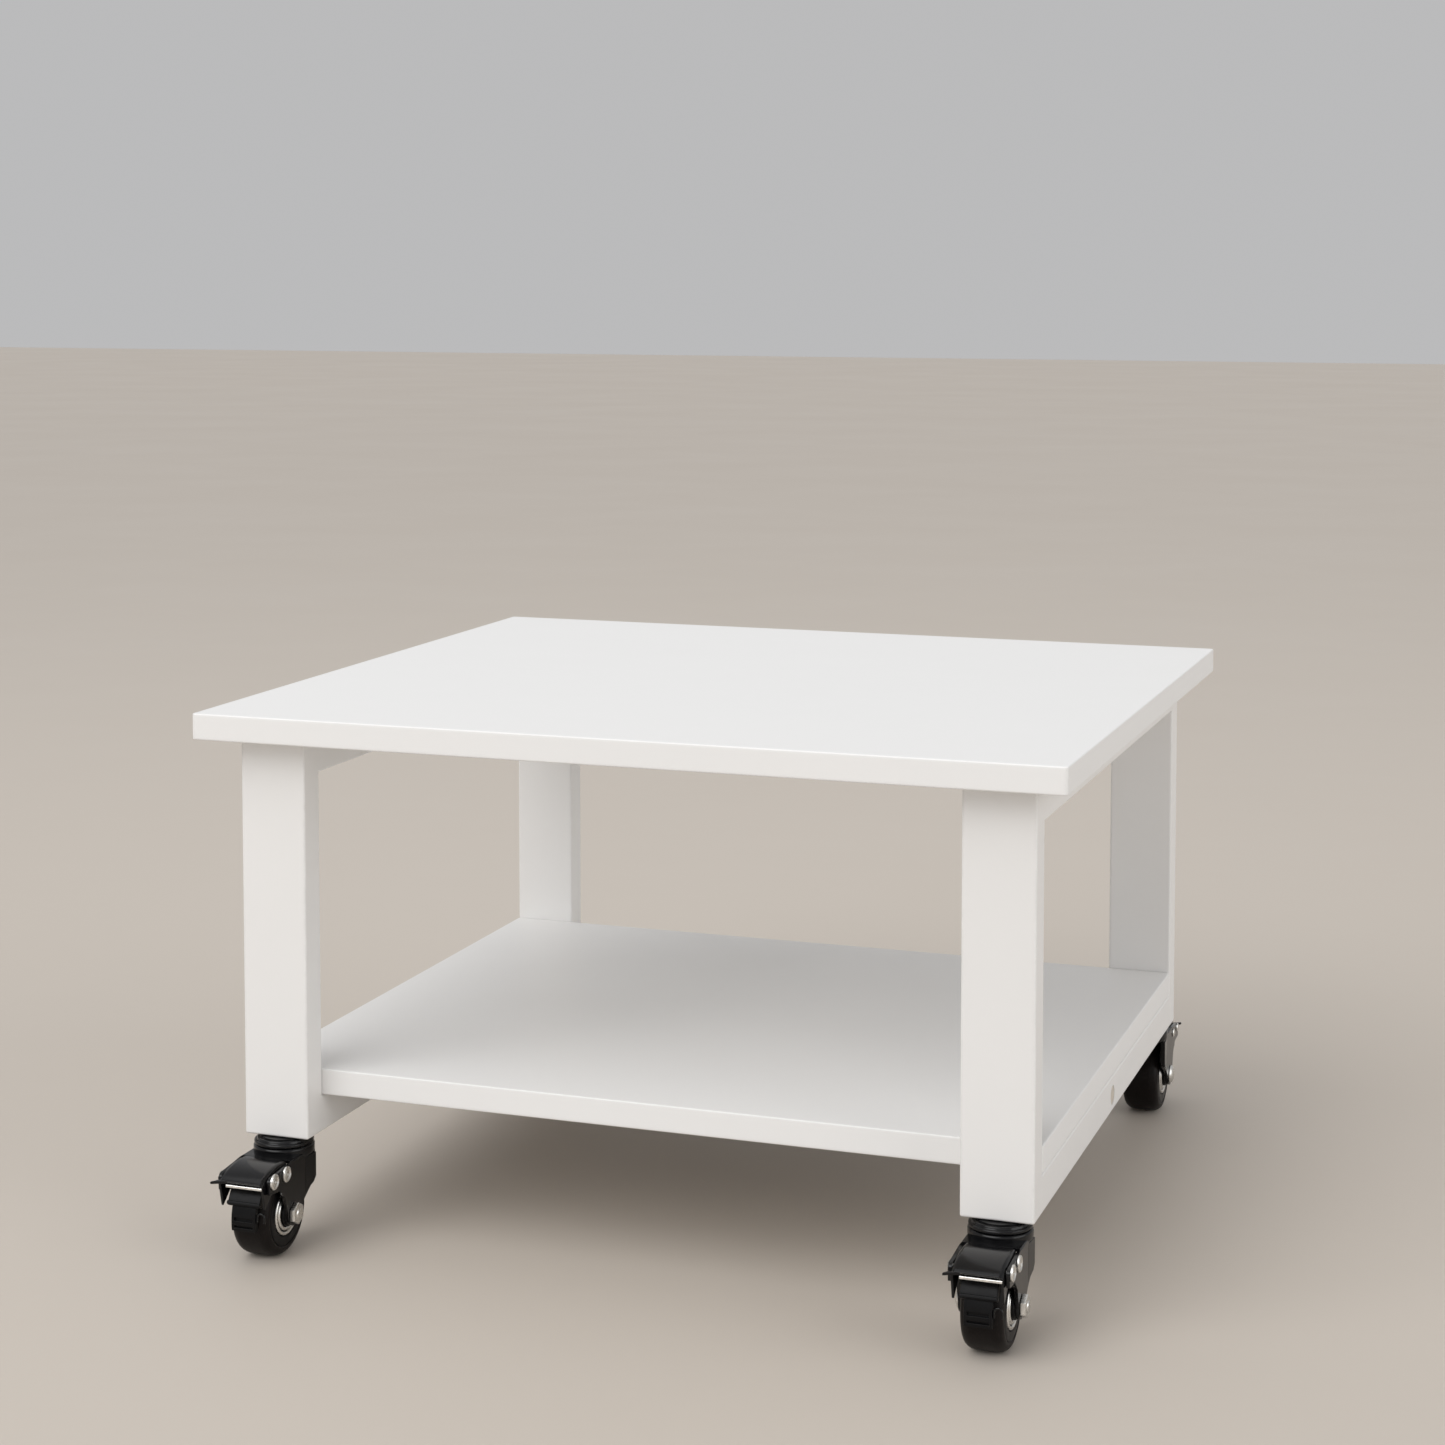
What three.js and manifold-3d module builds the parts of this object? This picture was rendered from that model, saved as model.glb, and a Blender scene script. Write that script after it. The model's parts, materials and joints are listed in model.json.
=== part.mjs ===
// Mobile printer stand: a white board and a lower shelf carried by two glued side frames, which
// roll on four braked swivel casters. Millimetres, +Z up. The origin is on the floor under the
// middle of the board, the front is -Y and the right-hand side is +X.

import * as THREE from "three";
import { mergeVertices } from "three/addons/utils/BufferGeometryUtils.js";
import Module from "manifold-3d";

const wasm = await Module();
wasm.setup();

// ---------------------------------------------------------------------------------------------
// Driving dimensions
// ---------------------------------------------------------------------------------------------

// Clearances
const JOINT_GAP = 0.3; // between glued, seated or screwed faces
const RUN_GAP = 0.4; // between pieces that turn on each other
const PAST = 1; // how far a cutting tool runs past the faces it cuts, and one joined solid into another

// Board, shelf and side frames
const TOP_W = 500;
const TOP_D = 450;
const TOP_T = 15;
const TOP_CORNER_R = 2;
const BOARD_EDGE_R = 1; // rounding of the board's and the shelf's edges
const OVERHANG_X = 20; // board past the frames' outer faces
const OVERHANG_Y = 20; // board past the legs' front and rear faces
const LEG_W = 40;
const LEG_T = 18;
const LEG_H = 229;
const RAIL_H = 21;
const FRAME_EDGE_R = 1.5;
const SHELF_T = 15;

// Cross beam under the shelf, and the bolts that hold it behind round caps
const BEAM_T = 18;
const BOLT_UP = 9.5; // bolt axis above the rail's underside
const BOLT_R = 3;
const BOLT_HEAD_R = 4.8;
const BOLT_HEAD_T = 5;
const BOLT_GRIP = 30; // bolt length inside the beam
const SOCKET_R = 2.3;
const SOCKET_DEPTH = 3;
const CAP_R = 5.4;
const CAP_T = 2;
const CAP_STUB_R = 3.5;
const CAP_STUB = 2;

// Caster wheel
const WHEEL_R = 24.5;
const WHEEL_W = 23;
const TREAD_W = 11; // the nearly flat middle of the tread
const TYRE_T = 5.5;
const TYRE_SIDE = 1; // height of the tyre's flat side above its seat
const TRAIL = 19; // axle behind the swivel axis, towards the pedal
const AXLE_R = 3;
const HUB_R = 7.8;
const AXLE_HEAD_R = 5.8;
const AXLE_HEAD_T = 2.2;
const NUT_FLATS = 11;
const NUT_T = 2.8;
const BOLT_TIP = 0.6; // axle bolt past its nut

// Fork and swivel head
const SHEET_T = 2;
const HEAD_ROOM = 4; // wheel top to the fork's crown
const HEAD_R = 17.4;
const RACE_H = 3.5;
const RACE_WALL = 1.8;
const CUP_R = 17;
const CUP_H = 3.5;
const CUP_WALL = 2;
const CUP_SLOPE_R = 3.2; // sloped shoulder of the cup, inwards and down
const CUP_SLOPE_H = 2.4;
const NECK_R = 13;
const NECK_H = 0.8;
const KING_R = 5;
const SWAGE_R = 7;
const SWAGE_T = 1.7;
const STEM_R = 4;
const STEM_L = 28;
const STEM_HOLE_SPARE = 2; // blind end of the stem's hole past the stem
const BALL_PITCH_R = 10.5;
const FORK_REAR = 6.5; // rear edge of the fork's cheeks, behind the swivel axis
const BOSS_R = 7; // round end of a cheek at the axle
const CROWN_NOSE = 7.5; // front edge of the crown behind the pedal's pivot pin

// Outline of the fork's cheek, as [along y, along z] from the point named
const WAIST_TOP = [0, 13.5]; // where the rear edge turns forwards, above the axle
const WAIST_FACET = [-1.5, 11]; // end of the small facet at that turn
const LIMB_REAR = [12.5, 4.5]; // rear edge of the lower limb, from the axle
const BOSS_DEG = [-10, 170]; // where the limb's edges meet the round end
const LIMB_FRONT = [-1, -13]; // front edge of the lower limb, from the pivot pin
const HAUNCH = [-7, -7.5]; // from the pivot pin
const CHEEK_UNDER = [-4, -6.5]; // the next three from the shoe pin
const CHEEK_NOSE = [-4.6, 0.5];
const CHEEK_BROW = [-2.5, 2.6];
const CHEEK_STEP = [0, 4]; // where the top edge begins to rise, from the pivot pin

// Brake: a pedal on a pivot pin, and a shoe that hangs from it on a second pin
const PIN_R = 1.5;
const PIN_HEAD_R = 4.4;
const PIN_HEAD_T = 1.2;
const PIN_TAIL_R = 2.8; // riveted end, on the left
const PIN_TAIL_T = 0.8;
const PIN_TO_TYRE = 1;
const WHEEL_SIDE_GAP = 0.9; // wheel to the pedal's cheeks
const PIVOT_AHEAD = 9.5; // pivot pin ahead of the axle
const PIN_SPACING = 14.1; // shoe pin ahead of the pivot pin
const PEDAL_T = 1.4;
const LIP_AHEAD = 8.9; // lip ahead of the shoe pin
const PEDAL_TAIL = [5.6, 5.8]; // rear edge of the tread plate, from the pivot pin
const PEDAL_HUMP = [-7.5, 5.5]; // highest stretch of the tread plate, from the pivot pin
const PEDAL_DIP = [3.5, 2.7]; // where it falls to the lip, behind the lip and above the pins
const TOOTH_TIP = 3.5; // tip of the tooth behind the lip
const TOOTH_HEEL = [3, 2.5]; // from the tip to the tooth's rear corner
const PEDAL_UNDER = [2, -8.5]; // cheek's lower edge, from the shoe pin
const PEDAL_BELLY = [-4, -5.4]; // from the pivot pin
const PEDAL_HEEL = -4; // cheek's lower rear corner below the pivot pin
const PEDAL_SKEW = 3; // how much further forward the lip's left corner is
const TOOTH_DROP = 14.8; // tip of the pedal cheeks' tooth below the pins
const LIP_RISE = 0.4; // top of the lip above the pins
const EAR = 3.5; // the pointed ear at the lip's left corner, past the pedal's side
const EAR_ROOT = 5; // its root along the side and along the lip
const BRAKE_DEG = 12; // pedal travel from free to braked
const SHOE_W = 20;
const SHOE_T = 4.5;
const CLAW_T = 3;
const CLAW_LAP_DEG = 4; // how far the claw reaches up inside the block
const SHOE_BOSS_R = 2.5;
const NECK_OUTLINE = [
  [1.8, 1.6],
  [-2.4, 0],
  [-1.5, -6.5],
  [5, -4.5],
  [6, -0.5],
]; // web between the boss and the block, from the shoe pin
const SHOE_TOP_DEG = 118; // ends of the shoe round the wheel, from the rear up and over
const SHOE_END_DEG = 190;
const CLAW_TOP_DEG = 162; // where the block ends and the claw goes on
const CLAW_W = 15; // width of the shoe's lower end
const RIB_SLOT = 1.5; // height and depth of the two slots across the claw
const RIB_SLOT_L = 11.5;
const RIB_SLOTS_DEG = [176, 184.5];

// ---------------------------------------------------------------------------------------------
// Sizes that follow
// ---------------------------------------------------------------------------------------------

const deg = THREE.MathUtils.degToRad;

const FRAME_X = TOP_W / 2 - OVERHANG_X; // outer face of a side frame
const LEG_Y = TOP_D / 2 - OVERHANG_Y; // outer face of a leg
const LEG_MID_X = FRAME_X - LEG_W / 2;
const LEG_MID_Y = LEG_Y - LEG_T / 2;
const RAIL_L = 2 * (LEG_Y - LEG_T - JOINT_GAP);

const AXLE_Z = WHEEL_R;
const CROWN_Z = 2 * WHEEL_R + HEAD_ROOM; // underside of the fork's crown
const RACE_Z = CROWN_Z + SHEET_T;
const CUP_Z = RACE_Z + RACE_H + RUN_GAP;
const NECK_Z = CUP_Z + CUP_H;
const CASTER_H = NECK_Z + NECK_H + JOINT_GAP;

const RAIL_TOP = CASTER_H + RAIL_H;
const SHELF_Z = RAIL_TOP + JOINT_GAP;
const LEG_TOP = CASTER_H + LEG_H;
const BOLT_Z = CASTER_H + BOLT_UP;

// Faces of the pedal's and the fork's cheeks, from the middle of the wheel
const PEDAL_IN = WHEEL_W / 2 + WHEEL_SIDE_GAP;
const PEDAL_OUT = PEDAL_IN + PEDAL_T;
const FORK_IN = PEDAL_OUT + RUN_GAP;
const FORK_OUT = FORK_IN + SHEET_T;

// Points of the caster's side view are [y, z], with the pedal towards -y.
const AXLE = [-TRAIL, AXLE_Z];
const PIN_ORBIT = WHEEL_R + PIN_TO_TYRE + PIN_R;
const PIVOT = [AXLE[0] - PIVOT_AHEAD, AXLE[1] + Math.sqrt(PIN_ORBIT ** 2 - PIVOT_AHEAD ** 2)];
const SHOE_PIN = [PIVOT[0] - PIN_SPACING, PIVOT[1]];
const LIP = [SHOE_PIN[0] - LIP_AHEAD, SHOE_PIN[1] + LIP_RISE];

// The shoe's arc is round the axle when the brake is on. At rest it has moved back along the
// line from the axle to the shoe pin by what the pin travels along that line.
const distance = (a, b) => Math.hypot(a[0] - b[0], a[1] - b[1]);
const PRESSED_PIN = [
  PIVOT[0] - PIN_SPACING * Math.cos(deg(BRAKE_DEG)),
  PIVOT[1] - PIN_SPACING * Math.sin(deg(BRAKE_DEG)),
];
const REACH = distance(PRESSED_PIN, AXLE) / distance(SHOE_PIN, AXLE);
const SHOE_CENTRE = [0, 1].map((i) => SHOE_PIN[i] + REACH * (AXLE[i] - SHOE_PIN[i]));
const SHOE_IN = WHEEL_R + RUN_GAP;

// ---------------------------------------------------------------------------------------------
// Materials
// ---------------------------------------------------------------------------------------------

const finish = (color, roughness, metalness) =>
  new THREE.MeshStandardMaterial({ color, roughness, metalness });

const WHITE_BOARD = finish(0xeceae7, 0.45, 0);
const WHITE_LACQUER = finish(0xe9e7e4, 0.4, 0);
const CAP_PLASTIC = finish(0xd9d2c8, 0.5, 0);
const BLACK_STEEL = finish(0x17171a, 0.3, 0.6);
const BRIGHT_ZINC = finish(0xc4c6c8, 0.3, 1);
const BLACK_NYLON = finish(0x1b1b1d, 0.5, 0);
const BLACK_TREAD = finish(0x232122, 0.65, 0);

// ---------------------------------------------------------------------------------------------
// Shape helpers
// ---------------------------------------------------------------------------------------------

function toSolid(geometry) {
  const bare = geometry.index ? geometry.toNonIndexed() : geometry.clone();
  for (const name of Object.keys(bare.attributes)) {
    if (name !== "position") bare.deleteAttribute(name);
  }
  const merged = mergeVertices(bare, 1e-4);
  return new wasm.Manifold(
    new wasm.Mesh({
      numProp: 3,
      vertProperties: merged.attributes.position.array,
      triVerts: new Uint32Array(merged.index.array),
    }),
  );
}

function toGeometry(solid) {
  const mesh = solid.getMesh();
  const geometry = new THREE.BufferGeometry();
  geometry.setAttribute("position", new THREE.BufferAttribute(mesh.vertProperties, 3));
  geometry.setIndex(new THREE.BufferAttribute(mesh.triVerts, 1));
  return geometry;
}

function join(...geometries) {
  return toGeometry(geometries.map(toSolid).reduce((whole, next) => whole.add(next)));
}

function cut(geometry, ...tools) {
  return toGeometry(tools.map(toSolid).reduce((rest, tool) => rest.subtract(tool), toSolid(geometry)));
}

function roundedRectangle(width, height, radius) {
  const [x, y] = [width / 2 - radius, height / 2 - radius];
  const shape = new THREE.Shape();
  shape.absarc(x, y, radius, 0, Math.PI / 2);
  shape.absarc(-x, y, radius, Math.PI / 2, Math.PI);
  shape.absarc(-x, -y, radius, Math.PI, 1.5 * Math.PI);
  shape.absarc(x, -y, radius, 1.5 * Math.PI, 2 * Math.PI);
  shape.closePath();
  return shape;
}

// A flat board lying from z = 0 upwards, its edges rounded all the way round.
function boardShape(width, depth, thickness) {
  return new THREE.ExtrudeGeometry(roundedRectangle(width, depth, TOP_CORNER_R), {
    depth: thickness - 2 * BOARD_EDGE_R,
    bevelThickness: BOARD_EDGE_R,
    bevelSize: BOARD_EDGE_R,
    bevelOffset: -BOARD_EDGE_R,
    bevelSegments: 1,
    curveSegments: 2,
  }).translate(0, 0, BOARD_EDGE_R);
}

// A bar with rounded long edges, standing from z = 0 upwards.
function barShape(width, thickness, length) {
  const section = roundedRectangle(width, thickness, FRAME_EDGE_R);
  return new THREE.ExtrudeGeometry(section, {
    depth: length,
    bevelEnabled: false,
    curveSegments: 2,
  });
}

function rod(radius, length, segments = 16) {
  return new THREE.CylinderGeometry(radius, radius, length, segments);
}

// A rod along X from x0 to x1, at [y, z].
function rodX(radius, x0, x1, [y, z], segments = 16) {
  const along = rod(radius, x1 - x0, segments).rotateZ(-Math.PI / 2);
  return along.translate((x0 + x1) / 2, y, z);
}

function rodZ(radius, z0, z1, segments = 12) {
  return rod(radius, z1 - z0, segments).rotateX(Math.PI / 2).translate(0, 0, (z0 + z1) / 2);
}

// A profile of [radius, height] points turned round the Z axis.
function turnedZ(profile, segments = 24) {
  const points = profile.map(([r, h]) => new THREE.Vector2(r, h));
  return new THREE.LatheGeometry(points, segments).rotateX(Math.PI / 2);
}

// The same round the X axis, its heights along +X, centred on the wheel's axle.
function turnedOnAxle(profile, segments) {
  const points = profile.map(([r, h]) => new THREE.Vector2(r, h));
  return new THREE.LatheGeometry(points, segments)
    .rotateZ(-Math.PI / 2)
    .translate(0, ...AXLE);
}

const TO_SIDE_VIEW = new THREE.Matrix4().makeBasis(
  new THREE.Vector3(0, 1, 0),
  new THREE.Vector3(0, 0, 1),
  new THREE.Vector3(1, 0, 0),
);

// An outline in the side view, extruded from x0 to x1.
function sidePlate(shape, x0, x1) {
  return new THREE.ExtrudeGeometry(shape, {
    depth: x1 - x0,
    bevelEnabled: false,
    curveSegments: 6,
  })
    .applyMatrix4(TO_SIDE_VIEW)
    .translate(x0, 0, 0);
}

// The point at an offset from another one.
const beside = (from, offset) => [from[0] + offset[0], from[1] + offset[1]];

const outline = (points) => new THREE.Shape(points.map(([y, z]) => new THREE.Vector2(y, z)));
const box = (w, d, h, x, y, z) => new THREE.BoxGeometry(w, d, h).translate(x, y, z);

function piece(name, geometry, material) {
  geometry.computeVertexNormals();
  const mesh = new THREE.Mesh(geometry, material);
  mesh.name = name;
  return mesh;
}

// ---------------------------------------------------------------------------------------------
// Board, shelf and side frames
// ---------------------------------------------------------------------------------------------

function topBoard() {
  const mesh = piece("top_board", boardShape(TOP_W, TOP_D, TOP_T), WHITE_BOARD);
  mesh.position.z = LEG_TOP + JOINT_GAP;
  return mesh;
}

function shelf() {
  const mesh = piece("shelf", boardShape(2 * FRAME_X, RAIL_L, SHELF_T), WHITE_BOARD);
  mesh.position.z = SHELF_Z;
  return mesh;
}

// A leg with a blind hole in its foot for the caster's stem.
function leg(name, x, y) {
  const bar = barShape(LEG_W, LEG_T, LEG_H);
  const stemHole = rodZ(STEM_R + JOINT_GAP, -PAST, STEM_L + STEM_HOLE_SPARE);
  const mesh = piece(name, cut(bar, stemHole), WHITE_LACQUER);
  mesh.position.set(x, y, CASTER_H);
  return mesh;
}

// A rail between the legs. The lower one is bored for the beam's bolt, its head and the cap.
function rail(name, side, top) {
  const bar = barShape(LEG_W, RAIL_H, RAIL_L)
    .rotateX(-Math.PI / 2)
    .translate(LEG_MID_X, -RAIL_L / 2, top - RAIL_H / 2);
  const bores = [
    rodX(BOLT_R + JOINT_GAP, FRAME_X - LEG_W - PAST, FRAME_X + PAST, [0, BOLT_Z]),
    rodX(CAP_R + JOINT_GAP, capSeat() - BOLT_HEAD_T - JOINT_GAP, FRAME_X + PAST, [0, BOLT_Z]),
  ];
  const geometry = top === RAIL_TOP ? cut(bar, ...bores) : bar;
  const mesh = piece(name, geometry, WHITE_LACQUER);
  mesh.rotation.z = side < 0 ? Math.PI : 0;
  return mesh;
}

// How far out the bolt's head ends, just behind the cap's stub.
const capSeat = () => FRAME_X - CAP_T - CAP_STUB - JOINT_GAP;

function crossBeam() {
  const half = FRAME_X - LEG_W - JOINT_GAP;
  const height = RAIL_H - 2 * JOINT_GAP;
  const bar = barShape(height, BEAM_T, 2 * half)
    .rotateY(Math.PI / 2)
    .translate(-half, 0, CASTER_H + JOINT_GAP + height / 2);
  const deep = half - BOLT_GRIP - PAST;
  const bores = [
    rodX(BOLT_R + JOINT_GAP, -half - PAST, -deep, [0, BOLT_Z]),
    rodX(BOLT_R + JOINT_GAP, deep, half + PAST, [0, BOLT_Z]),
  ];
  return piece("cross_beam", cut(bar, ...bores), WHITE_LACQUER);
}

function beamBolt(name, side) {
  const inner = FRAME_X - LEG_W - BOLT_GRIP;
  const head = rodX(BOLT_HEAD_R, capSeat() - BOLT_HEAD_T, capSeat(), [0, BOLT_Z]);
  const shank = rodX(BOLT_R, inner, capSeat() - PAST, [0, BOLT_Z]);
  const socket = rodX(SOCKET_R, capSeat() - SOCKET_DEPTH, capSeat() + PAST, [0, BOLT_Z], 6);
  const mesh = piece(name, cut(join(head, shank), socket), BRIGHT_ZINC);
  mesh.rotation.z = side < 0 ? Math.PI : 0;
  return mesh;
}

function coverCap(name, side) {
  const disc = rodX(CAP_R, FRAME_X - CAP_T, FRAME_X, [0, BOLT_Z], 24);
  const stub = rodX(CAP_STUB_R, FRAME_X - CAP_T - CAP_STUB, FRAME_X - PAST, [0, BOLT_Z]);
  const mesh = piece(name, join(disc, stub), CAP_PLASTIC);
  mesh.rotation.z = side < 0 ? Math.PI : 0;
  return mesh;
}

// ---------------------------------------------------------------------------------------------
// Caster: each piece in the caster's own frame, on the floor under its swivel axis
// ---------------------------------------------------------------------------------------------

// Threaded stem, fixed race cup and king pin, swaged under the fork's crown.
function stemShape() {
  const roof = NECK_Z - CUP_WALL;
  const top = NECK_Z + NECK_H;
  return turnedZ([
    [0, CROWN_Z - JOINT_GAP - SWAGE_T],
    [SWAGE_R, CROWN_Z - JOINT_GAP - SWAGE_T],
    [SWAGE_R, CROWN_Z - JOINT_GAP],
    [KING_R, CROWN_Z - JOINT_GAP],
    [KING_R, roof],
    [CUP_R - CUP_WALL, roof],
    [CUP_R - CUP_WALL, CUP_Z],
    [CUP_R, CUP_Z],
    [CUP_R, NECK_Z - CUP_SLOPE_H],
    [CUP_R - CUP_SLOPE_R, NECK_Z],
    [NECK_R, NECK_Z],
    [NECK_R, top],
    [STEM_R, top],
    [STEM_R, top + STEM_L],
    [0, top + STEM_L],
  ], 16);
}

function ballRingShape() {
  const room = NECK_Z - CUP_WALL - RACE_Z;
  const radius = room / 2 - JOINT_GAP;
  const ring = new THREE.TorusGeometry(BALL_PITCH_R, radius, 6, 16);
  return ring.translate(0, 0, RACE_Z + room / 2);
}

// One cheek of the fork, on the +X side. It holds the axle and the pivot pin, and a short slot
// round the pivot guides the shoe pin and ends the pedal's travel.
function forkCheek() {
  const shape = new THREE.Shape();
  const rear = [FORK_REAR, AXLE_Z];
  const above = [
    [FORK_REAR, RACE_Z],
    beside(rear, WAIST_TOP),
    beside(rear, WAIST_FACET),
    beside(AXLE, LIMB_REAR),
  ];
  shape.setFromPoints(above.map((point) => new THREE.Vector2(...point)));
  shape.absarc(...AXLE, BOSS_R, ...BOSS_DEG.map(deg), true);
  const front = [
    beside(PIVOT, LIMB_FRONT),
    beside(PIVOT, HAUNCH),
    beside(SHOE_PIN, CHEEK_UNDER),
    beside(SHOE_PIN, CHEEK_NOSE),
    beside(SHOE_PIN, CHEEK_BROW),
    beside(PIVOT, CHEEK_STEP),
    [PIVOT[0] + CROWN_NOSE, RACE_Z],
  ];
  for (const point of front) shape.lineTo(...point);
  shape.closePath();
  return sidePlate(shape, FORK_IN, FORK_OUT);
}

function pinSlot() {
  const half = PIN_R + JOINT_GAP;
  const from = Math.PI;
  const to = from + deg(BRAKE_DEG);
  const shape = new THREE.Shape();
  shape.absarc(...PIVOT, PIN_SPACING + half, from, to);
  shape.absarc(...PIVOT, PIN_SPACING - half, to, from, true);
  shape.closePath();
  const reach = FORK_OUT + PAST;
  return [
    sidePlate(shape, -reach, reach),
    rodX(half, -reach, reach, SHOE_PIN, 8),
    rodX(half, -reach, reach, PRESSED_PIN, 8),
  ];
}

const mirrored = (geometry) => {
  const turned = geometry.clone().scale(-1, 1, 1);
  const flipped = turned.index ? turned.toNonIndexed() : turned;
  const position = flipped.attributes.position;
  for (let i = 0; i < position.count; i += 3) {
    const [b, c] = [i + 1, i + 2].map((k) => new THREE.Vector3().fromBufferAttribute(position, k));
    position.setXYZ(i + 1, c.x, c.y, c.z);
    position.setXYZ(i + 2, b.x, b.y, b.z);
  }
  return flipped;
};

function forkShape() {
  const crownDisc = rodZ(HEAD_R, CROWN_Z, RACE_Z, 20);
  const nose = PIVOT[0] + CROWN_NOSE;
  const crownPlate = box(2 * FORK_OUT, -nose, SHEET_T, 0, nose / 2, CROWN_Z + SHEET_T / 2);
  const race = turnedZ([
    [HEAD_R - RACE_WALL, RACE_Z - PAST],
    [HEAD_R, RACE_Z - PAST],
    [HEAD_R, RACE_Z + RACE_H],
    [HEAD_R - RACE_WALL, RACE_Z + RACE_H],
    [HEAD_R - RACE_WALL, RACE_Z - PAST],
  ], 20);
  const cheek = forkCheek();
  const reach = FORK_OUT + PAST;
  return cut(
    join(crownDisc, crownPlate, race, cheek, mirrored(cheek)),
    rodZ(KING_R + JOINT_GAP, CROWN_Z - PAST, RACE_Z + PAST),
    rodX(AXLE_R + JOINT_GAP, -reach, reach, AXLE),
    rodX(PIN_R + JOINT_GAP, -reach, reach, PIVOT, 8),
    ...pinSlot(),
  );
}

function wheelCoreShape() {
  const rim = WHEEL_R - TYRE_T - JOINT_GAP;
  const bore = AXLE_R + JOINT_GAP;
  const half = WHEEL_W / 2;
  const hub = FORK_IN - RUN_GAP;
  return turnedOnAxle([
    [bore, -hub],
    [HUB_R, -hub],
    [HUB_R, -half],
    [rim, -half],
    [rim, half],
    [HUB_R, half],
    [HUB_R, hub],
    [bore, hub],
    [bore, -hub],
  ], 20);
}

// The tread is nearly flat in the middle and falls away in an elliptical shoulder.
function tyreShape() {
  const inner = WHEEL_R - TYRE_T;
  const half = WHEEL_W / 2;
  const steps = 3;
  const shoulder = Array.from({ length: steps + 1 }, (_, i) => (i / steps) * (Math.PI / 2));
  const fall = TYRE_T - TYRE_SIDE;
  const side = shoulder.map((a) => [
    WHEEL_R - fall * (1 - Math.sin(a)),
    TREAD_W / 2 + (half - TREAD_W / 2) * Math.cos(a),
  ]);
  const left = side.map(([r, x]) => [r, -x]);
  return turnedOnAxle([
    [inner, -half],
    ...left,
    ...side.slice().reverse(),
    [inner, half],
    [inner, -half],
  ], 28);
}

function axleBoltShape() {
  const headIn = -FORK_OUT - JOINT_GAP;
  const tip = FORK_OUT + JOINT_GAP + NUT_T + BOLT_TIP;
  return join(
    rodX(AXLE_HEAD_R, headIn - AXLE_HEAD_T, headIn, AXLE, 16),
    rodX(AXLE_R, headIn - PAST, tip, AXLE),
  );
}

function axleNutShape() {
  const seat = FORK_OUT + JOINT_GAP;
  const corner = NUT_FLATS / 2 / Math.cos(Math.PI / 6);
  const hexagon = rodX(corner, seat, seat + NUT_T, AXLE, 6);
  return cut(hexagon, rodX(AXLE_R + JOINT_GAP, seat - PAST, seat + NUT_T + PAST, AXLE));
}

function pinShape(centre) {
  const seat = FORK_OUT + JOINT_GAP;
  return join(
    rodX(PIN_R, -seat - PIN_TAIL_T / 2, seat + PIN_HEAD_T / 2, centre, 8),
    rodX(PIN_HEAD_R, seat, seat + PIN_HEAD_T, centre, 12),
    rodX(PIN_TAIL_R, -seat - PIN_TAIL_T, -seat, centre, 12),
  );
}

// The pedal's top surface from its rear edge to its lip, in the side view.
function pedalCurve() {
  const overShoePin = SHOE_BOSS_R + JOINT_GAP + PEDAL_T;
  const points = [
    beside(PIVOT, PEDAL_TAIL),
    beside(PIVOT, PEDAL_HUMP),
    beside(SHOE_PIN, [0, overShoePin]),
    [LIP[0] + PEDAL_DIP[0], PIVOT[1] + PEDAL_DIP[1]],
    LIP,
  ];
  return new THREE.SplineCurve(points.map((point) => new THREE.Vector2(...point))).getPoints(8);
}

// The pedal is bent from sheet: a curved tread plate with a cheek down each side, which ends in
// a tooth below the lip. The lip's left corner runs out into a small pointed ear.
function pedalShape() {
  const upper = pedalCurve();
  const lower = upper.map((p, i) => {
    const [a, b] = [upper[Math.max(i - 1, 0)], upper[Math.min(i + 1, upper.length - 1)]];
    const along = b.clone().sub(a).normalize();
    return p.clone().add(new THREE.Vector2(-along.y, along.x).multiplyScalar(PEDAL_T));
  });
  const plate = sidePlate(new THREE.Shape([...upper, ...lower.toReversed()]), -PEDAL_OUT, PEDAL_OUT);
  const middle = upper.map((p, i) => p.clone().lerp(lower[i], 0.5));
  const tooth = [LIP[0] + TOOTH_TIP, PIVOT[1] - TOOTH_DROP];
  const edge = [
    tooth,
    beside(tooth, TOOTH_HEEL),
    beside(SHOE_PIN, PEDAL_UNDER),
    beside(PIVOT, PEDAL_BELLY),
    beside(PIVOT, [PEDAL_TAIL[0], PEDAL_HEEL]),
  ].map((point) => new THREE.Vector2(...point));
  const cheek = sidePlate(new THREE.Shape([...middle, ...edge]), PEDAL_IN, PEDAL_OUT);
  const corners = [
    [-PEDAL_OUT + PEDAL_T / 2, LIP[0] + EAR_ROOT],
    [-PEDAL_OUT - EAR, LIP[0] - PEDAL_SKEW],
    [-PEDAL_OUT + EAR_ROOT, LIP[0] + PEDAL_T / 2],
  ];
  const ear = new THREE.ExtrudeGeometry(outline(corners), { depth: PEDAL_T, bevelEnabled: false });
  ear.translate(0, 0, LIP[1] - PEDAL_T / 2);
  return cut(
    join(plate, cheek, mirrored(cheek), ear),
    ...[PIVOT, SHOE_PIN].map((pin) =>
      rodX(PIN_R + JOINT_GAP, -PEDAL_OUT - PAST, PEDAL_OUT + PAST, pin, 8),
    ),
  );
}

function arcBlock(fromDeg, toDeg, width, thickness) {
  const [cy, cz] = SHOE_CENTRE;
  const shape = new THREE.Shape();
  shape.absarc(cy, cz, SHOE_IN + thickness, deg(fromDeg), deg(toDeg));
  shape.absarc(cy, cz, SHOE_IN, deg(toDeg), deg(fromDeg), true);
  shape.closePath();
  return sidePlate(shape, -width / 2, width / 2);
}

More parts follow.
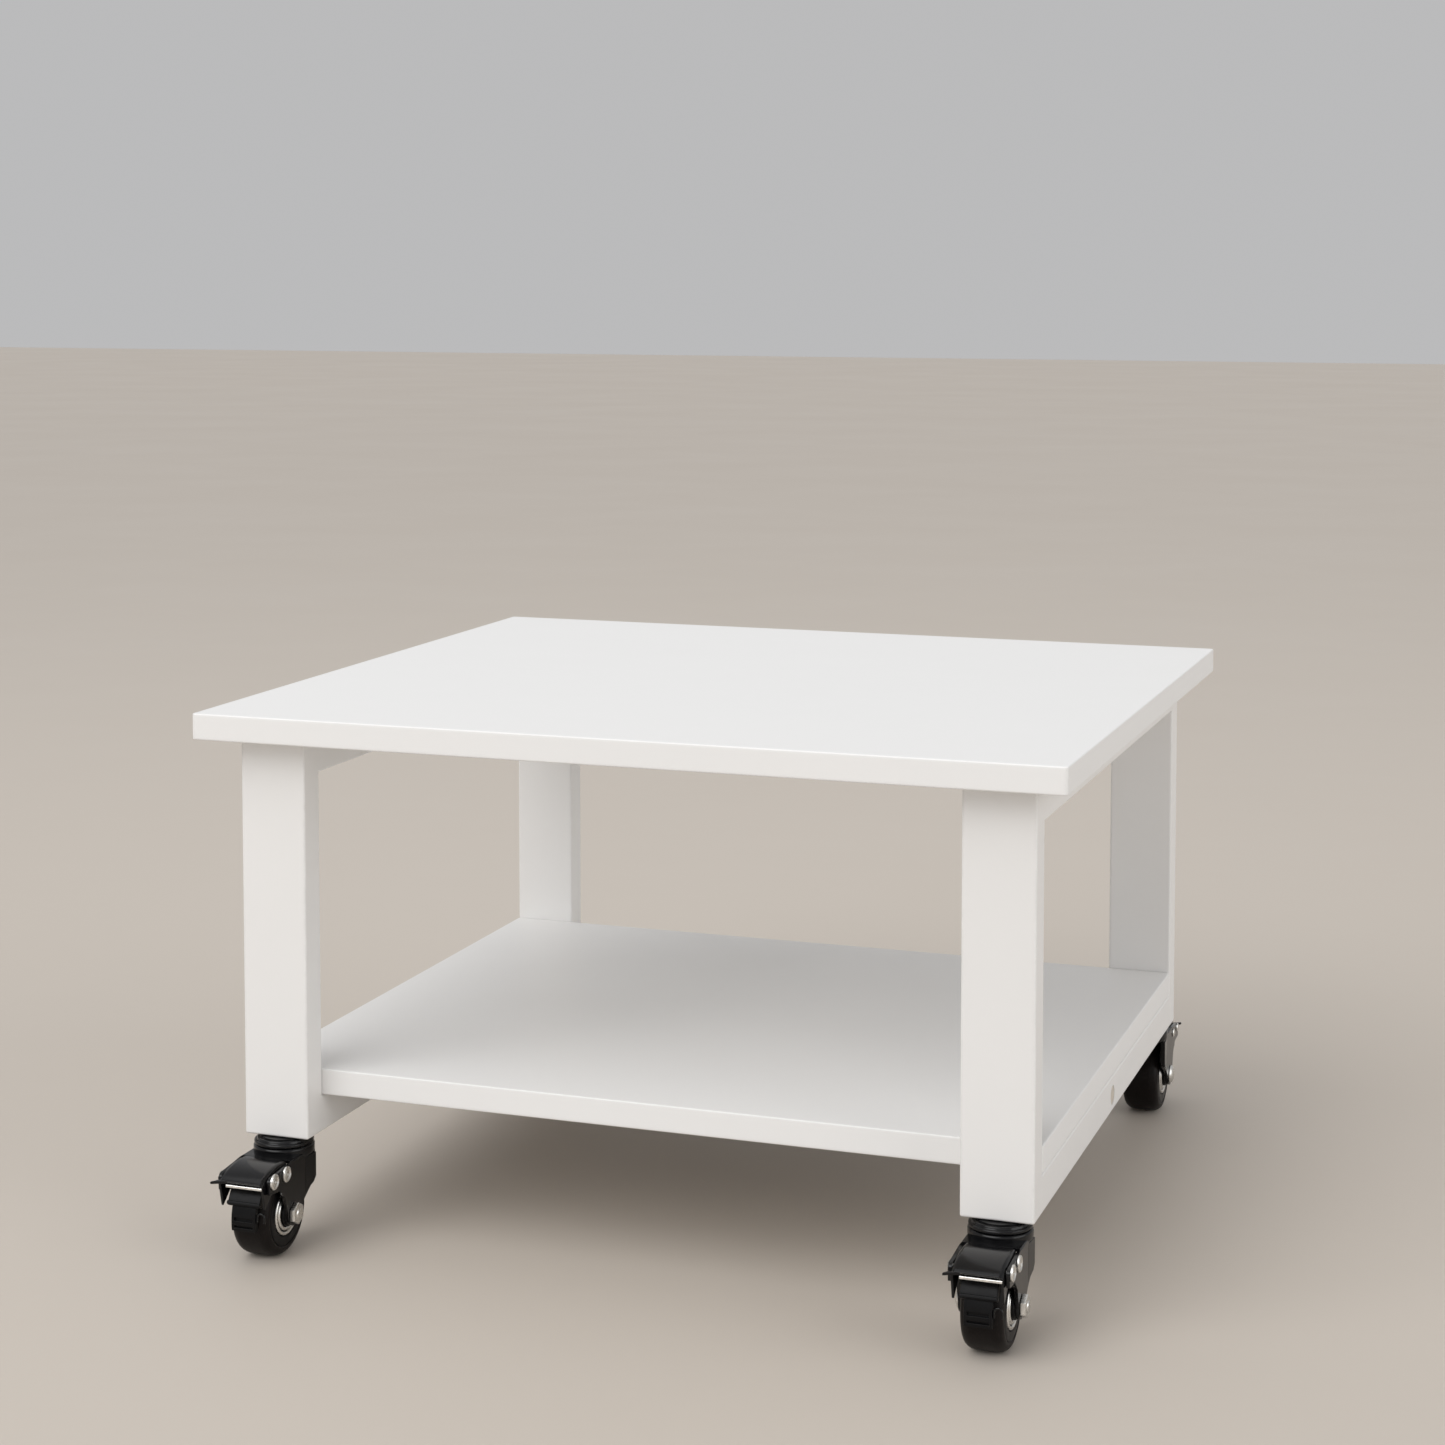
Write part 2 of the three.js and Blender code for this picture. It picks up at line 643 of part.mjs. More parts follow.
// The shoe: a block over the front of the tread that hangs from its pin, with a narrower claw
// below it, which has two slots across its face.
function shoeShape() {
  const [cy, cz] = SHOE_CENTRE;
  const upper = arcBlock(SHOE_TOP_DEG, CLAW_TOP_DEG, SHOE_W, SHOE_T);
  const claw = arcBlock(CLAW_TOP_DEG - CLAW_LAP_DEG, SHOE_END_DEG, CLAW_W, CLAW_T);
  const boss = rodX(SHOE_BOSS_R, -SHOE_W / 2, SHOE_W / 2, SHOE_PIN, 10);
  const web = outline(NECK_OUTLINE.map((offset) => beside(SHOE_PIN, offset)));
  const neck = sidePlate(web, -SHOE_W / 2, SHOE_W / 2);
  const slots = RIB_SLOTS_DEG.map((angle) => {
    const reach = SHOE_IN + CLAW_T;
    const y = cy + reach * Math.cos(deg(angle));
    const z = cz + reach * Math.sin(deg(angle));
    return box(RIB_SLOT_L, 2 * RIB_SLOT, RIB_SLOT, 0, y, z);
  });
  const bore = rodX(PIN_R + JOINT_GAP, -SHOE_W, SHOE_W, SHOE_PIN, 8);
  return cut(join(upper, claw, boss, neck), bore, ...slots);
}

// One caster with its pedal towards -Y, or turned to +Y.
function caster(corner, x, y, turned) {
  const group = new THREE.Group();
  const parts = [
    ["caster_stem", stemShape(), BLACK_STEEL],
    ["ball_ring", ballRingShape(), BRIGHT_ZINC],
    ["fork", forkShape(), BLACK_STEEL],
    ["axle_bolt", axleBoltShape(), BRIGHT_ZINC],
    ["axle_nut", axleNutShape(), BRIGHT_ZINC],
    ["wheel_core", wheelCoreShape(), BLACK_NYLON],
    ["tyre", tyreShape(), BLACK_TREAD],
    ["pedal_pin", pinShape(PIVOT), BRIGHT_ZINC],
    ["brake_pedal", pedalShape(), BLACK_STEEL],
    ["shoe_pin", pinShape(SHOE_PIN), BRIGHT_ZINC],
    ["brake_shoe", shoeShape(), BLACK_NYLON],
  ];
  for (const [name, geometry, material] of parts) {
    group.add(piece(`${name}_${corner}`, geometry, material));
  }
  group.position.set(x, y, 0);
  group.rotation.z = turned ? Math.PI : 0;
  return group;
}

// ---------------------------------------------------------------------------------------------
// Assembly
// ---------------------------------------------------------------------------------------------

const stand = new THREE.Group();
stand.add(topBoard(), shelf(), crossBeam());

for (const [sideName, side] of [["left", -1], ["right", 1]]) {
  stand.add(
    rail(`top_rail_${sideName}`, side, LEG_TOP),
    rail(`bottom_rail_${sideName}`, side, RAIL_TOP),
    beamBolt(`beam_bolt_${sideName}`, side),
    coverCap(`cover_cap_${sideName}`, side),
  );
  for (const [endName, end] of [["front", -1], ["rear", 1]]) {
    const [x, y] = [side * LEG_MID_X, end * LEG_MID_Y];
    const corner = `${endName}_${sideName}`;
    stand.add(leg(`leg_${corner}`, x, y), caster(corner, x, y, end > 0));
  }
}

export default stand;
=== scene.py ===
"""Finished surfaces of a mobile printer stand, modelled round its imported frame."""

import json
import math

import bmesh
import bpy
from mathutils import Matrix, Vector
from mathutils.geometry import interpolate_bezier


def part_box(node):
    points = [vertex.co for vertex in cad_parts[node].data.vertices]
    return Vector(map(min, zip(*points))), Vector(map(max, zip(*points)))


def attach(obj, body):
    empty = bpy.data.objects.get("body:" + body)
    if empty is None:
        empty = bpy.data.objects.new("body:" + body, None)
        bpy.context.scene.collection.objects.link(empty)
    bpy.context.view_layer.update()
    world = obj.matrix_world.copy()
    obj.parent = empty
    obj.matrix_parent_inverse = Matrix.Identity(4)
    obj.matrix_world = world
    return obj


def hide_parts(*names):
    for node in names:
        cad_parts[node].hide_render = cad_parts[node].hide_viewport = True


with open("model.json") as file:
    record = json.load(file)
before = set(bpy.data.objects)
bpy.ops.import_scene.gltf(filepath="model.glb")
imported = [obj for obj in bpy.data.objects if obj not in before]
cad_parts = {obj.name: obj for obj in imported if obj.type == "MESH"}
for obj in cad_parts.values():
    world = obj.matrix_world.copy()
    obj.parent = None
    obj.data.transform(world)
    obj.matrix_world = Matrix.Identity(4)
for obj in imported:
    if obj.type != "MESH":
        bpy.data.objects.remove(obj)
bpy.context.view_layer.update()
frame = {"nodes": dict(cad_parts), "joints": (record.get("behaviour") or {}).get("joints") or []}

bl_info = {
    "name": "Mobile Printer Stand",
    "version": (1, 0, 0),
    "blender": (4, 5, 0),
    "location": "View3D > Sidebar > Stand",
    "description": "Builds the boards, side frames and braked casters of a mobile printer stand",
    "category": "Object",
}

MM = 0.001
MARGIN = 1.2 * MM
SAME_PLACE = 1e-4
SMOOTH_BELOW = math.radians(38)
CORNERS = [f"{end}_{side}" for end in ("front", "rear") for side in ("left", "right")]
JOINT_AT = {joint["name"]: Vector(joint["pos_m"]) for joint in frame["joints"]}


# ---- Settings ----


def length(name, description, default, least=0.0001):
    """A size in metres that the user may change."""
    return bpy.props.FloatProperty(
        name=name, description=description, default=default, min=least, unit="LENGTH"
    )


def number(name, description, default, **kind):
    """A strength, angle or power that the user may change."""
    return bpy.props.FloatProperty(name=name, description=description, default=default, **kind)


def triple(name, description, default, subtype="COLOR"):
    """A colour or a place that the user may change."""
    return bpy.props.FloatVectorProperty(
        name=name, description=description, default=default, subtype=subtype
    )


class StandBoardSettings(bpy.types.PropertyGroup):
    """Sizes and colours of the boards and side frames."""

    edge_radius: length("Board edge radius", "Rounding of the board's and the shelf's edges", 0.0009)
    corner_radius: length("Board corner radius", "Rounding of a board's four upright corners", 0.002)
    frame_radius: length("Frame edge radius", "Rounding of the side frames' edges", 0.0013)
    laminate: triple("Laminate", "Colour of the boards", (0.83, 0.825, 0.815))
    lacquer: triple("Lacquer", "Colour of the side frames", (0.82, 0.812, 0.80))
    cap: triple("Cover cap", "Colour of the bolt covers", (0.60, 0.54, 0.47))


class StandCasterSettings(bpy.types.PropertyGroup):
    """Sizes and colours of the casters."""

    fork_sheet: length("Fork sheet", "Thickness of the fork's pressed steel", 0.002, 0.0005)
    pedal_sheet: length("Pedal sheet", "Thickness of the pedal's pressed steel", 0.0014, 0.0005)
    bend_radius: length("Bend radius", "Outer radius of the bends beside a plate", 0.0026, 0.0005)
    enamel: triple("Enamel", "Colour of the fork and pedal", (0.0035, 0.0035, 0.004))
    nylon: triple("Nylon", "Colour of the wheel core and brake shoe", (0.003, 0.003, 0.0033))
    tread: triple("Tread", "Colour of the tyre", (0.0075, 0.006, 0.0055))
    zinc: triple("Zinc", "Colour of the plated fasteners and rings", (0.74, 0.73, 0.70))


class StandStageSettings(bpy.types.PropertyGroup):
    """Floor, lamps and camera."""

    floor: triple("Floor", "Colour of the floor", (0.56, 0.505, 0.445))
    broad: number("Broad light", "Strength of the even light from the front left", 1.15)
    key_power: number("Key lamp", "Power of the large lamp in front", 16.0, unit="POWER")
    sky: number("Sky strength", "Strength of the light from all round", 0.5)
    lens: number("Lens", "Focal length in millimetres", 68.707)
    shift_y: number("Shift", "Vertical shift of the lens", -0.19)
    position: triple(
        "Camera position", "Where the camera stands", (0.53879, -1.57582, 0.56089), "TRANSLATION"
    )
    yaw: number(
        "Yaw", "Turn of the camera to the left", math.radians(19.2844), subtype="ANGLE"
    )
    pitch: number(
        "Pitch", "Tilt of the camera below level", math.radians(3.8625), subtype="ANGLE"
    )


# ---- Shader node groups ----


class NodeBoard:
    """A node tree with short calls that add nodes and join them."""

    def __init__(self, tree):
        self.tree = tree
        tree.nodes.clear()

    def add(self, kind, settings=None, **inputs):
        node = self.tree.nodes.new(kind)
        for name, value in (settings or {}).items():
            setattr(node, name, value)
        for name, value in inputs.items():
            self.feed(node.inputs[name.replace("_", " ")], value)
        return node

    def feed(self, socket, value):
        if isinstance(value, bpy.types.NodeSocket):
            self.tree.links.new(value, socket)
        else:
            socket.default_value = value

    def math(self, operation, first, second=0.0):
        node = self.tree.nodes.new("ShaderNodeMath")
        node.operation = operation
        self.feed(node.inputs[0], first)
        self.feed(node.inputs[1], second)
        return node.outputs[0]

    def ramp(self, value, low, high, to_low=0.0, to_high=1.0):
        node = self.add("ShaderNodeMapRange", Value=value)
        for name, number in (("From Min", low), ("From Max", high)):
            node.inputs[name].default_value = number
        for name, number in (("To Min", to_low), ("To Max", to_high)):
            node.inputs[name].default_value = number
        return node.outputs["Result"]

    def mix(self, share, first, second):
        node = self.add("ShaderNodeMix", {"data_type": "RGBA"})
        self.feed(node.inputs[0], share)
        self.feed(node.inputs[6], first)
        self.feed(node.inputs[7], second)
        return node.outputs[2]


def new_group(name, inputs, outputs):
    """An empty shader node group, its board, and the node that holds its inputs."""
    tree = bpy.data.node_groups.new(name, "ShaderNodeTree")
    board = NodeBoard(tree)
    for label, kind, default in inputs:
        socket = tree.interface.new_socket(name=label, in_out="INPUT", socket_type=kind)
        socket.default_value = default
    for label, kind in outputs:
        tree.interface.new_socket(name=label, in_out="OUTPUT", socket_type=kind)
    return tree, board, board.add("NodeGroupInput")


def object_noise(board, scale, detail=3.0, roughness=0.5, stretch=(1.0, 1.0, 1.0)):
    """Noise on the piece's own coordinates, which may be drawn out along an axis."""
    place = board.add("ShaderNodeTexCoord").outputs["Object"]
    mapped = board.add("ShaderNodeMapping", Vector=place, Scale=stretch)
    at = mapped.outputs[0]
    noise = board.add(
        "ShaderNodeTexNoise", Vector=at, Scale=scale, Detail=detail, Roughness=roughness
    )
    return noise.outputs["Fac"]


def grain_group():
    """Fine and coarse relief of a coated surface, as a height from 0 to 1."""
    tree, board, given = new_group(
        "fine_grain",
        [
            ("Fine Scale", "NodeSocketFloat", 2500.0),
            ("Coarse Scale", "NodeSocketFloat", 260.0),
            ("Coarse Share", "NodeSocketFloat", 0.4),
        ],
        [("Height", "NodeSocketFloat")],
    )
    fine = object_noise(board, given.outputs["Fine Scale"], 2.0)
    coarse = object_noise(board, given.outputs["Coarse Scale"], 3.0)
    share = given.outputs["Coarse Share"]
    kept = board.math("MULTIPLY", fine, board.math("SUBTRACT", 1.0, share))
    height = board.math("ADD", kept, board.math("MULTIPLY", coarse, share))
    board.add("NodeGroupOutput", Height=height)
    return tree


def wear_group():
    """Mask of the convex edges, broken up by noise, from 0 on flats to 1 on worn edges. On the enamel
    and the nylon the same mask also lays a painted highlight along the edges.
    """
    tree, board, given = new_group(
        "edge_wear",
        [
            ("Start", "NodeSocketFloat", 0.02),
            ("Reach", "NodeSocketFloat", 0.06),
            ("Break Up", "NodeSocketFloat", 180.0),
        ],
        [("Mask", "NodeSocketFloat")],
    )
    sharpness = board.add("ShaderNodeNewGeometry").outputs["Pointiness"]
    above = board.math("SUBTRACT", sharpness, board.math("ADD", given.outputs["Start"], 0.5))
    edge = board.math("DIVIDE", above, given.outputs["Reach"])
    patches = board.ramp(object_noise(board, given.outputs["Break Up"], 4.0, 0.6), 0.42, 0.62)
    clipped = board.math("MINIMUM", board.math("MAXIMUM", edge, 0.0), 1.0)
    board.add("NodeGroupOutput", Mask=board.math("MULTIPLY", clipped, patches))
    return tree


def marks_group():
    """Soft patches left by hands and cloths, and the fine dust that lies on upward faces."""
    tree, board, given = new_group(
        "handling_marks",
        [
            ("Patch Scale", "NodeSocketFloat", 9.0),
            ("Dust Scale", "NodeSocketFloat", 900.0),
        ],
        [("Patches", "NodeSocketFloat"), ("Dust", "NodeSocketFloat")],
    )
    patches = object_noise(board, given.outputs["Patch Scale"], 5.0, 0.62)
    normal = board.add("ShaderNodeNewGeometry").outputs["Normal"]
    upward = board.add("ShaderNodeSeparateXYZ", Vector=normal).outputs["Z"]
    specks = board.ramp(object_noise(board, given.outputs["Dust Scale"], 2.0), 0.56, 0.74)
    lying = board.math("MULTIPLY", board.ramp(upward, 0.35, 1.0), specks)
    board.add("NodeGroupOutput", Patches=patches, Dust=lying)
    return tree


GROUP_MAKERS = {"fine_grain": grain_group, "edge_wear": wear_group, "handling_marks": marks_group}


def group_node(board, name, **inputs):
    tree = bpy.data.node_groups.get(name) or GROUP_MAKERS[name]()
    return board.add("ShaderNodeGroup", {"node_tree": tree}, **inputs)


# ---- Materials ----


def material_board(name, **fixed):
    """A new material's node board and its Principled node, which holds the values that don't vary."""
    material = bpy.data.materials.new(name)
    material.use_nodes = True
    board = NodeBoard(material.node_tree)
    shader = board.add("ShaderNodeBsdfPrincipled", **fixed)
    board.add("ShaderNodeOutputMaterial", Surface=shader.outputs[0])
    return material, board, shader


def paint(board, shader, colour, roughness):
    board.feed(shader.inputs["Base Color"], colour)
    board.feed(shader.inputs["Roughness"], roughness)


def bump(board, shader, height, strength, distance):
    node = board.add("ShaderNodeBump", Height=height, Strength=strength, Distance=distance)
    board.feed(shader.inputs["Normal"], node.outputs[0])


def relief(board, shader, strength, distance, **grain):
    """Fine relief of the surface."""
    height = group_node(board, "fine_grain", **grain).outputs["Height"]
    bump(board, shader, height, strength, distance)


def shade(colour, factor):
    return (*(channel * factor for channel in colour[:3]), 1.0)


def white_laminate(colour):
    """Melamine-faced board: faint pebbled press texture, soft patches, grey rub on the edges."""
    material, board, shader = material_board("white_laminate", Specular_IOR_Level=0.45)
    marks = group_node(board, "handling_marks", Patch_Scale=6.0)
    worn = group_node(board, "edge_wear", Reach=0.09, Break_Up=70.0)
    face = board.mix(
        board.ramp(marks.outputs["Patches"], 0.35, 0.7), shade(colour, 1.0), shade(colour, 0.985)
    )
    edge_tinted = board.math("MULTIPLY", worn.outputs["Mask"], 0.35)
    colours = board.mix(edge_tinted, face, shade(colour, 0.72))
    paint(board, shader, colours, board.ramp(marks.outputs["Patches"], 0.3, 0.7, 0.42, 0.47))
    relief(board, shader, 0.10, 0.0003, Fine_Scale=1500.0, Coarse_Scale=420.0, Coarse_Share=0.55)
    return material


def frame_lacquer(colour):
    """Sprayed lacquer over wood: orange-peel relief, a hint of grain and small edge rubs."""
    material, board, shader = material_board("frame_lacquer", Specular_IOR_Level=0.5)
    marks = group_node(board, "handling_marks", Patch_Scale=11.0)
    worn = group_node(board, "edge_wear", Reach=0.10, Break_Up=95.0)
    face = board.mix(
        board.ramp(marks.outputs["Patches"], 0.3, 0.72), shade(colour, 1.0), shade(colour, 0.98)
    )
    edge_tinted = board.math("MULTIPLY", worn.outputs["Mask"], 0.4)
    colours = board.mix(edge_tinted, face, shade(colour, 0.7))
    paint(board, shader, colours, board.ramp(marks.outputs["Patches"], 0.3, 0.7, 0.3, 0.42))
    peel = group_node(board, "fine_grain", Fine_Scale=900.0, Coarse_Scale=180.0, Coarse_Share=0.7)
    wood = object_noise(board, 60.0, 3.0, 0.6, (1.0, 8.0, 0.6))
    height = board.math("ADD", peel.outputs["Height"], board.math("MULTIPLY", wood, 0.35))
    bump(board, shader, height, 0.14, 0.0004)
    return material


def cover_plastic(colour):
    """Moulded cover cap: satin with a fine eroded texture."""
    material, board, shader = material_board("cover_plastic")
    marks = group_node(board, "handling_marks", Patch_Scale=240.0)
    worn = group_node(board, "edge_wear", Reach=0.1, Break_Up=500.0)
    face = board.mix(marks.outputs["Patches"], shade(colour, 1.06), shade(colour, 0.9))
    colours = board.mix(worn.outputs["Mask"], face, shade(colour, 1.25))
    paint(board, shader, colours, board.ramp(marks.outputs["Patches"], 0.3, 0.7, 0.42, 0.58))
    relief(board, shader, 0.25, 0.0002, Fine_Scale=4200.0, Coarse_Scale=1500.0)
    return material


def black_enamel(colour):
    """Glossy black coat on pressed steel: orange peel, dulled patches, dust, and grey edges that are
    partly worn and partly a painted highlight.
    """
    material, board, shader = material_board("black_enamel", Specular_IOR_Level=0.42, IOR=1.42)
    marks = group_node(board, "handling_marks", Patch_Scale=85.0, Dust_Scale=1500.0)
    worn = group_node(board, "edge_wear", Start=0.1, Reach=0.12, Break_Up=420.0)
    face = board.mix(marks.outputs["Patches"], shade(colour, 0.8), shade(colour, 1.4))
    # Grey convex edges: partly wear, partly a painted highlight along the edges.
    edge = board.math("MULTIPLY", worn.outputs["Mask"], 0.25)
    edge_tinted = board.mix(edge, face, (0.06, 0.06, 0.062, 1.0))
    dust = board.math("MULTIPLY", marks.outputs["Dust"], 0.02)
    gloss = board.ramp(marks.outputs["Patches"], 0.3, 0.7, 0.13, 0.2)
    colours = board.mix(dust, edge_tinted, (0.32, 0.30, 0.28, 1.0))
    paint(board, shader, colours, board.math("ADD", gloss, board.math("MULTIPLY", edge, 0.25)))
    relief(board, shader, 0.12, 0.0003, Fine_Scale=1600.0, Coarse_Scale=420.0, Coarse_Share=0.6)
    return material


def zinc_plate(colour):
    """Zinc plate: slightly clouded metal with fine turning marks."""
    material, board, shader = material_board("zinc_plate", Metallic=1.0)
    marks = group_node(board, "handling_marks", Patch_Scale=210.0)
    face = board.mix(marks.outputs["Patches"], shade(colour, 1.12), shade(colour, 0.82))
    worn = group_node(board, "edge_wear", Reach=0.12, Break_Up=600.0)
    colours = board.mix(worn.outputs["Mask"], face, shade(colour, 1.2))
    paint(board, shader, colours, board.ramp(marks.outputs["Patches"], 0.3, 0.7, 0.2, 0.38))
    brush = object_noise(board, 900.0, 2.0, 0.5, (0.15, 1.0, 1.0))
    bump(board, shader, brush, 0.05, 0.0002)
    return material


def moulded_nylon(colour):
    """Moulded nylon: satin black with a fine spark-eroded grain and paler edges, which are partly
    scuffs and partly a painted highlight.
    """
    material, board, shader = material_board("moulded_nylon", Specular_IOR_Level=0.15)
    marks = group_node(board, "handling_marks", Patch_Scale=120.0, Dust_Scale=1300.0)
    worn = group_node(board, "edge_wear", Start=0.1, Reach=0.12, Break_Up=380.0)
    face = board.mix(marks.outputs["Patches"], shade(colour, 0.8), shade(colour, 1.7))
    # Paler convex edges, such as the slots' rims: partly scuffs, partly a painted highlight.
    edge = board.math("MULTIPLY", worn.outputs["Mask"], 0.2)
    edge_tinted = board.mix(edge, face, (0.02, 0.02, 0.021, 1.0))
    dust = board.math("MULTIPLY", marks.outputs["Dust"], 0.03)
    colours = board.mix(dust, edge_tinted, (0.32, 0.30, 0.28, 1.0))
    paint(board, shader, colours, board.ramp(marks.outputs["Patches"], 0.3, 0.7, 0.28, 0.42))
    relief(board, shader, 0.18, 0.0002, Fine_Scale=3600.0, Coarse_Scale=900.0)
    return material


def soft_tread(colour):
    """Polyurethane tread: brown-black, satin, with rolling scuffs round the tread and dust."""
    material, board, shader = material_board("soft_tread", Specular_IOR_Level=0.1)
    marks = group_node(board, "handling_marks", Patch_Scale=70.0, Dust_Scale=1200.0)
    scuffs = object_noise(board, 420.0, 4.0, 0.62, (4.0, 1.0, 1.0))
    face = board.mix(marks.outputs["Patches"], shade(colour, 0.75), shade(colour, 1.5))
    rolled = board.math("MULTIPLY", board.ramp(scuffs, 0.5, 0.72), 0.25)
    dull = board.ramp(marks.outputs["Patches"], 0.3, 0.7, 0.3, 0.44)
    colours = board.mix(rolled, face, (0.04, 0.033, 0.03, 1.0))
    paint(board, shader, colours, board.math("ADD", dull, board.math("MULTIPLY", rolled, 0.5)))
    relief(board, shader, 0.16, 0.0003, Fine_Scale=2600.0, Coarse_Scale=500.0)
    return material


def pale_floor(colour):
    """Plain pale floor with a very soft mottling."""
    material, board, shader = material_board("pale_floor")
    mottle = board.ramp(object_noise(board, 2.2, 4.0), 0.3, 0.7)
    colours = board.mix(mottle, shade(colour, 1.0), shade(colour, 0.98))
    paint(board, shader, colours, board.ramp(mottle, 0.0, 1.0, 0.55, 0.68))
    return material


# Each finish: its maker, where its colour is set, and the slot of the frame that it dresses. The names
# differ from the slots' own, because the frame brings a plain material of each slot's name.
FINISHES = {
    "white_laminate": (white_laminate, "stand_boards", "laminate", "white_board"),
    "frame_lacquer": (frame_lacquer, "stand_boards", "lacquer", "white_lacquer"),
    "cover_plastic": (cover_plastic, "stand_boards", "cap", "cap_plastic"),
    "black_enamel": (black_enamel, "stand_casters", "enamel", "black_steel"),
    "zinc_plate": (zinc_plate, "stand_casters", "zinc", "bright_zinc"),
    "moulded_nylon": (moulded_nylon, "stand_casters", "nylon", "black_nylon"),
    "soft_tread": (soft_tread, "stand_casters", "tread", "black_tread"),
    "pale_floor": (pale_floor, "stand_stage", "floor", None),
}


def finish_of(name):
    """The finish of this name, made at its first use in the colour that the settings hold."""
    if name in bpy.data.materials:
        return bpy.data.materials[name]
    maker, group, field, _ = FINISHES[name]
    return maker(getattr(getattr(bpy.context.scene, group), field))


# ---- Shape helpers ----


def moved_verts(result):
    return [item for item in result["geom"] if isinstance(item, bmesh.types.BMVert)]


def solid_outline(bm, points, x0, x1):
    """A side-view outline of (y, z) points, made solid from x0 to x1."""
    face = bm.faces.new([bm.verts.new((x0, y, z)) for y, z in points])
    grown = moved_verts(bmesh.ops.extrude_face_region(bm, geom=[face]))
    bmesh.ops.translate(bm, verts=grown, vec=(x1 - x0, 0, 0))
    bmesh.ops.recalc_face_normals(bm, faces=bm.faces)


def turned(bm, profile, axis="X", centre=(0, 0, 0), segments=56):
    """A profile of (radius, distance along the axis) points, turned full circle."""
    along, out = Vector((1, 0, 0)), Vector((0, 0, 1))
    if axis == "Z":
        along, out = out, along
    line = [bm.verts.new(Vector(centre) + out * r + along * h) for r, h in profile]
    edges = [bm.edges.new(pair) for pair in zip(line, line[1:])]
    full = 2 * math.pi
    bmesh.ops.spin(
        bm, geom=line + edges, cent=centre, axis=along, angle=full, steps=segments, use_merge=True
    )
    bmesh.ops.remove_doubles(bm, verts=bm.verts, dist=SAME_PLACE)
    bmesh.ops.recalc_face_normals(bm, faces=bm.faces)


def arc(cx, cy, radius, start, end, steps=5):
    """Points on an arc, its angles in degrees."""
    angles = [math.radians(start + (end - start) * i / steps) for i in range(steps + 1)]
    return [(cx + radius * math.cos(a), cy + radius * math.sin(a)) for a in angles]


def run_along(edge, axis):
    """How far an edge runs along an axis."""
    first, last = (getattr(vert.co, axis) for vert in edge.verts)
    return abs(first - last)


def sharp_edges(bm, degrees=35):
    limit = math.radians(degrees)
    return [e for e in bm.edges if len(e.link_faces) == 2 and e.calc_face_angle(0) > limit]


def soften(bm, width, segments=2, edges=None):
    """Rounds the given edges, or all sharp ones."""
    bmesh.ops.bevel(
        bm,
        geom=sharp_edges(bm) if edges is None else edges,
        affect="EDGES",
        offset=width,
        offset_type="OFFSET",
        segments=segments,
        profile=0.5,
        clamp_overlap=True,
        material=-1,
    )


def margin_on_flats(bm, width):
    """A narrow margin round every flat face, so that what shows at an edge stays there."""
    flats = [f for f in bm.faces if max(abs(part) for part in f.normal) > 0.9999]
    bmesh.ops.inset_region(bm, faces=flats, thickness=width, use_even_offset=True)


def finished(name, bm, finish, body, replaces=(), place=None, solidify=0.0, round_off=0.0):
    """Places a shape, makes it a piece with its finish, and lets it ride on its body."""
    bmesh.ops.remove_doubles(bm, verts=bm.verts, dist=SAME_PLACE)
    bmesh.ops.recalc_face_normals(bm, faces=bm.faces)
    if place is not None:
        bmesh.ops.transform(bm, matrix=place, verts=bm.verts)
    mesh = bpy.data.meshes.new(name)
    bm.to_mesh(mesh)
    bm.free()
    mesh.shade_smooth()
    mesh.set_sharp_from_angle(angle=SMOOTH_BELOW)
    piece = bpy.data.objects.new(name, mesh)
    bpy.context.scene.collection.objects.link(piece)
    mesh.materials.append(finish_of(finish))
    if solidify:
        wall = piece.modifiers.new("wall", "SOLIDIFY")
        wall.thickness = solidify
        wall.offset = -1.0
        wall.use_even_offset = True
    if round_off:
        rim = piece.modifiers.new("rim", "BEVEL")
        rim.width = round_off
        rim.segments = 2
        rim.limit_method = "ANGLE"
        rim.angle_limit = math.radians(50)
    even = piece.modifiers.new("even_shading", "WEIGHTED_NORMAL")
    even.keep_sharp = True
    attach(piece, body)
    if replaces:
        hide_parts(*replaces)
    return piece


def dress_node(node, finish):
    """Gives a carried-over part its finish."""
    obj = frame["nodes"][node]
    obj.data.materials.clear()
    obj.data.materials.append(finish_of(finish))


# ---- Boards and side frames ----


def block_of(node):
    """A square block the size of a part."""
    low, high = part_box(node)
    bm = bmesh.new()
    bmesh.ops.create_cube(bm, size=1.0)
    bmesh.ops.scale(bm, vec=high - low, verts=bm.verts)
    bmesh.ops.translate(bm, vec=(low + high) / 2, verts=bm.verts)
    return bm


def beam_piece(settings):
    """The beam between the side frames, its long edges rounded and its ends square."""
    bm = block_of("cross_beam")
    lengthwise = [e for e in bm.edges if run_along(e, "x") > SAME_PLACE]
    soften(bm, settings.frame_radius, 3, lengthwise)
    margin_on_flats(bm, MARGIN)
    finished("support_beam", bm, "frame_lacquer", "stand", ("cross_beam",))


def board_piece(name, node, settings):
    """A flat board the size of its part, its corners and then its edges rounded."""
    bm = block_of(node)
    upright = [e for e in bm.edges if run_along(e, "z") > SAME_PLACE]
    soften(bm, settings.corner_radius, 5, upright)
    rims = [e for e in sharp_edges(bm, 60) if run_along(e, "z") < 0.1 * SAME_PLACE]
    soften(bm, settings.edge_radius, 3, rims)
    margin_on_flats(bm, MARGIN)
    finished(name, bm, "white_laminate", "stand", (node,))


def ring_of_edges(bm, points):
    verts = [bm.verts.new(point) for point in points]
    return [bm.edges.new(pair) for pair in zip(verts, verts[1:] + verts[:1])]


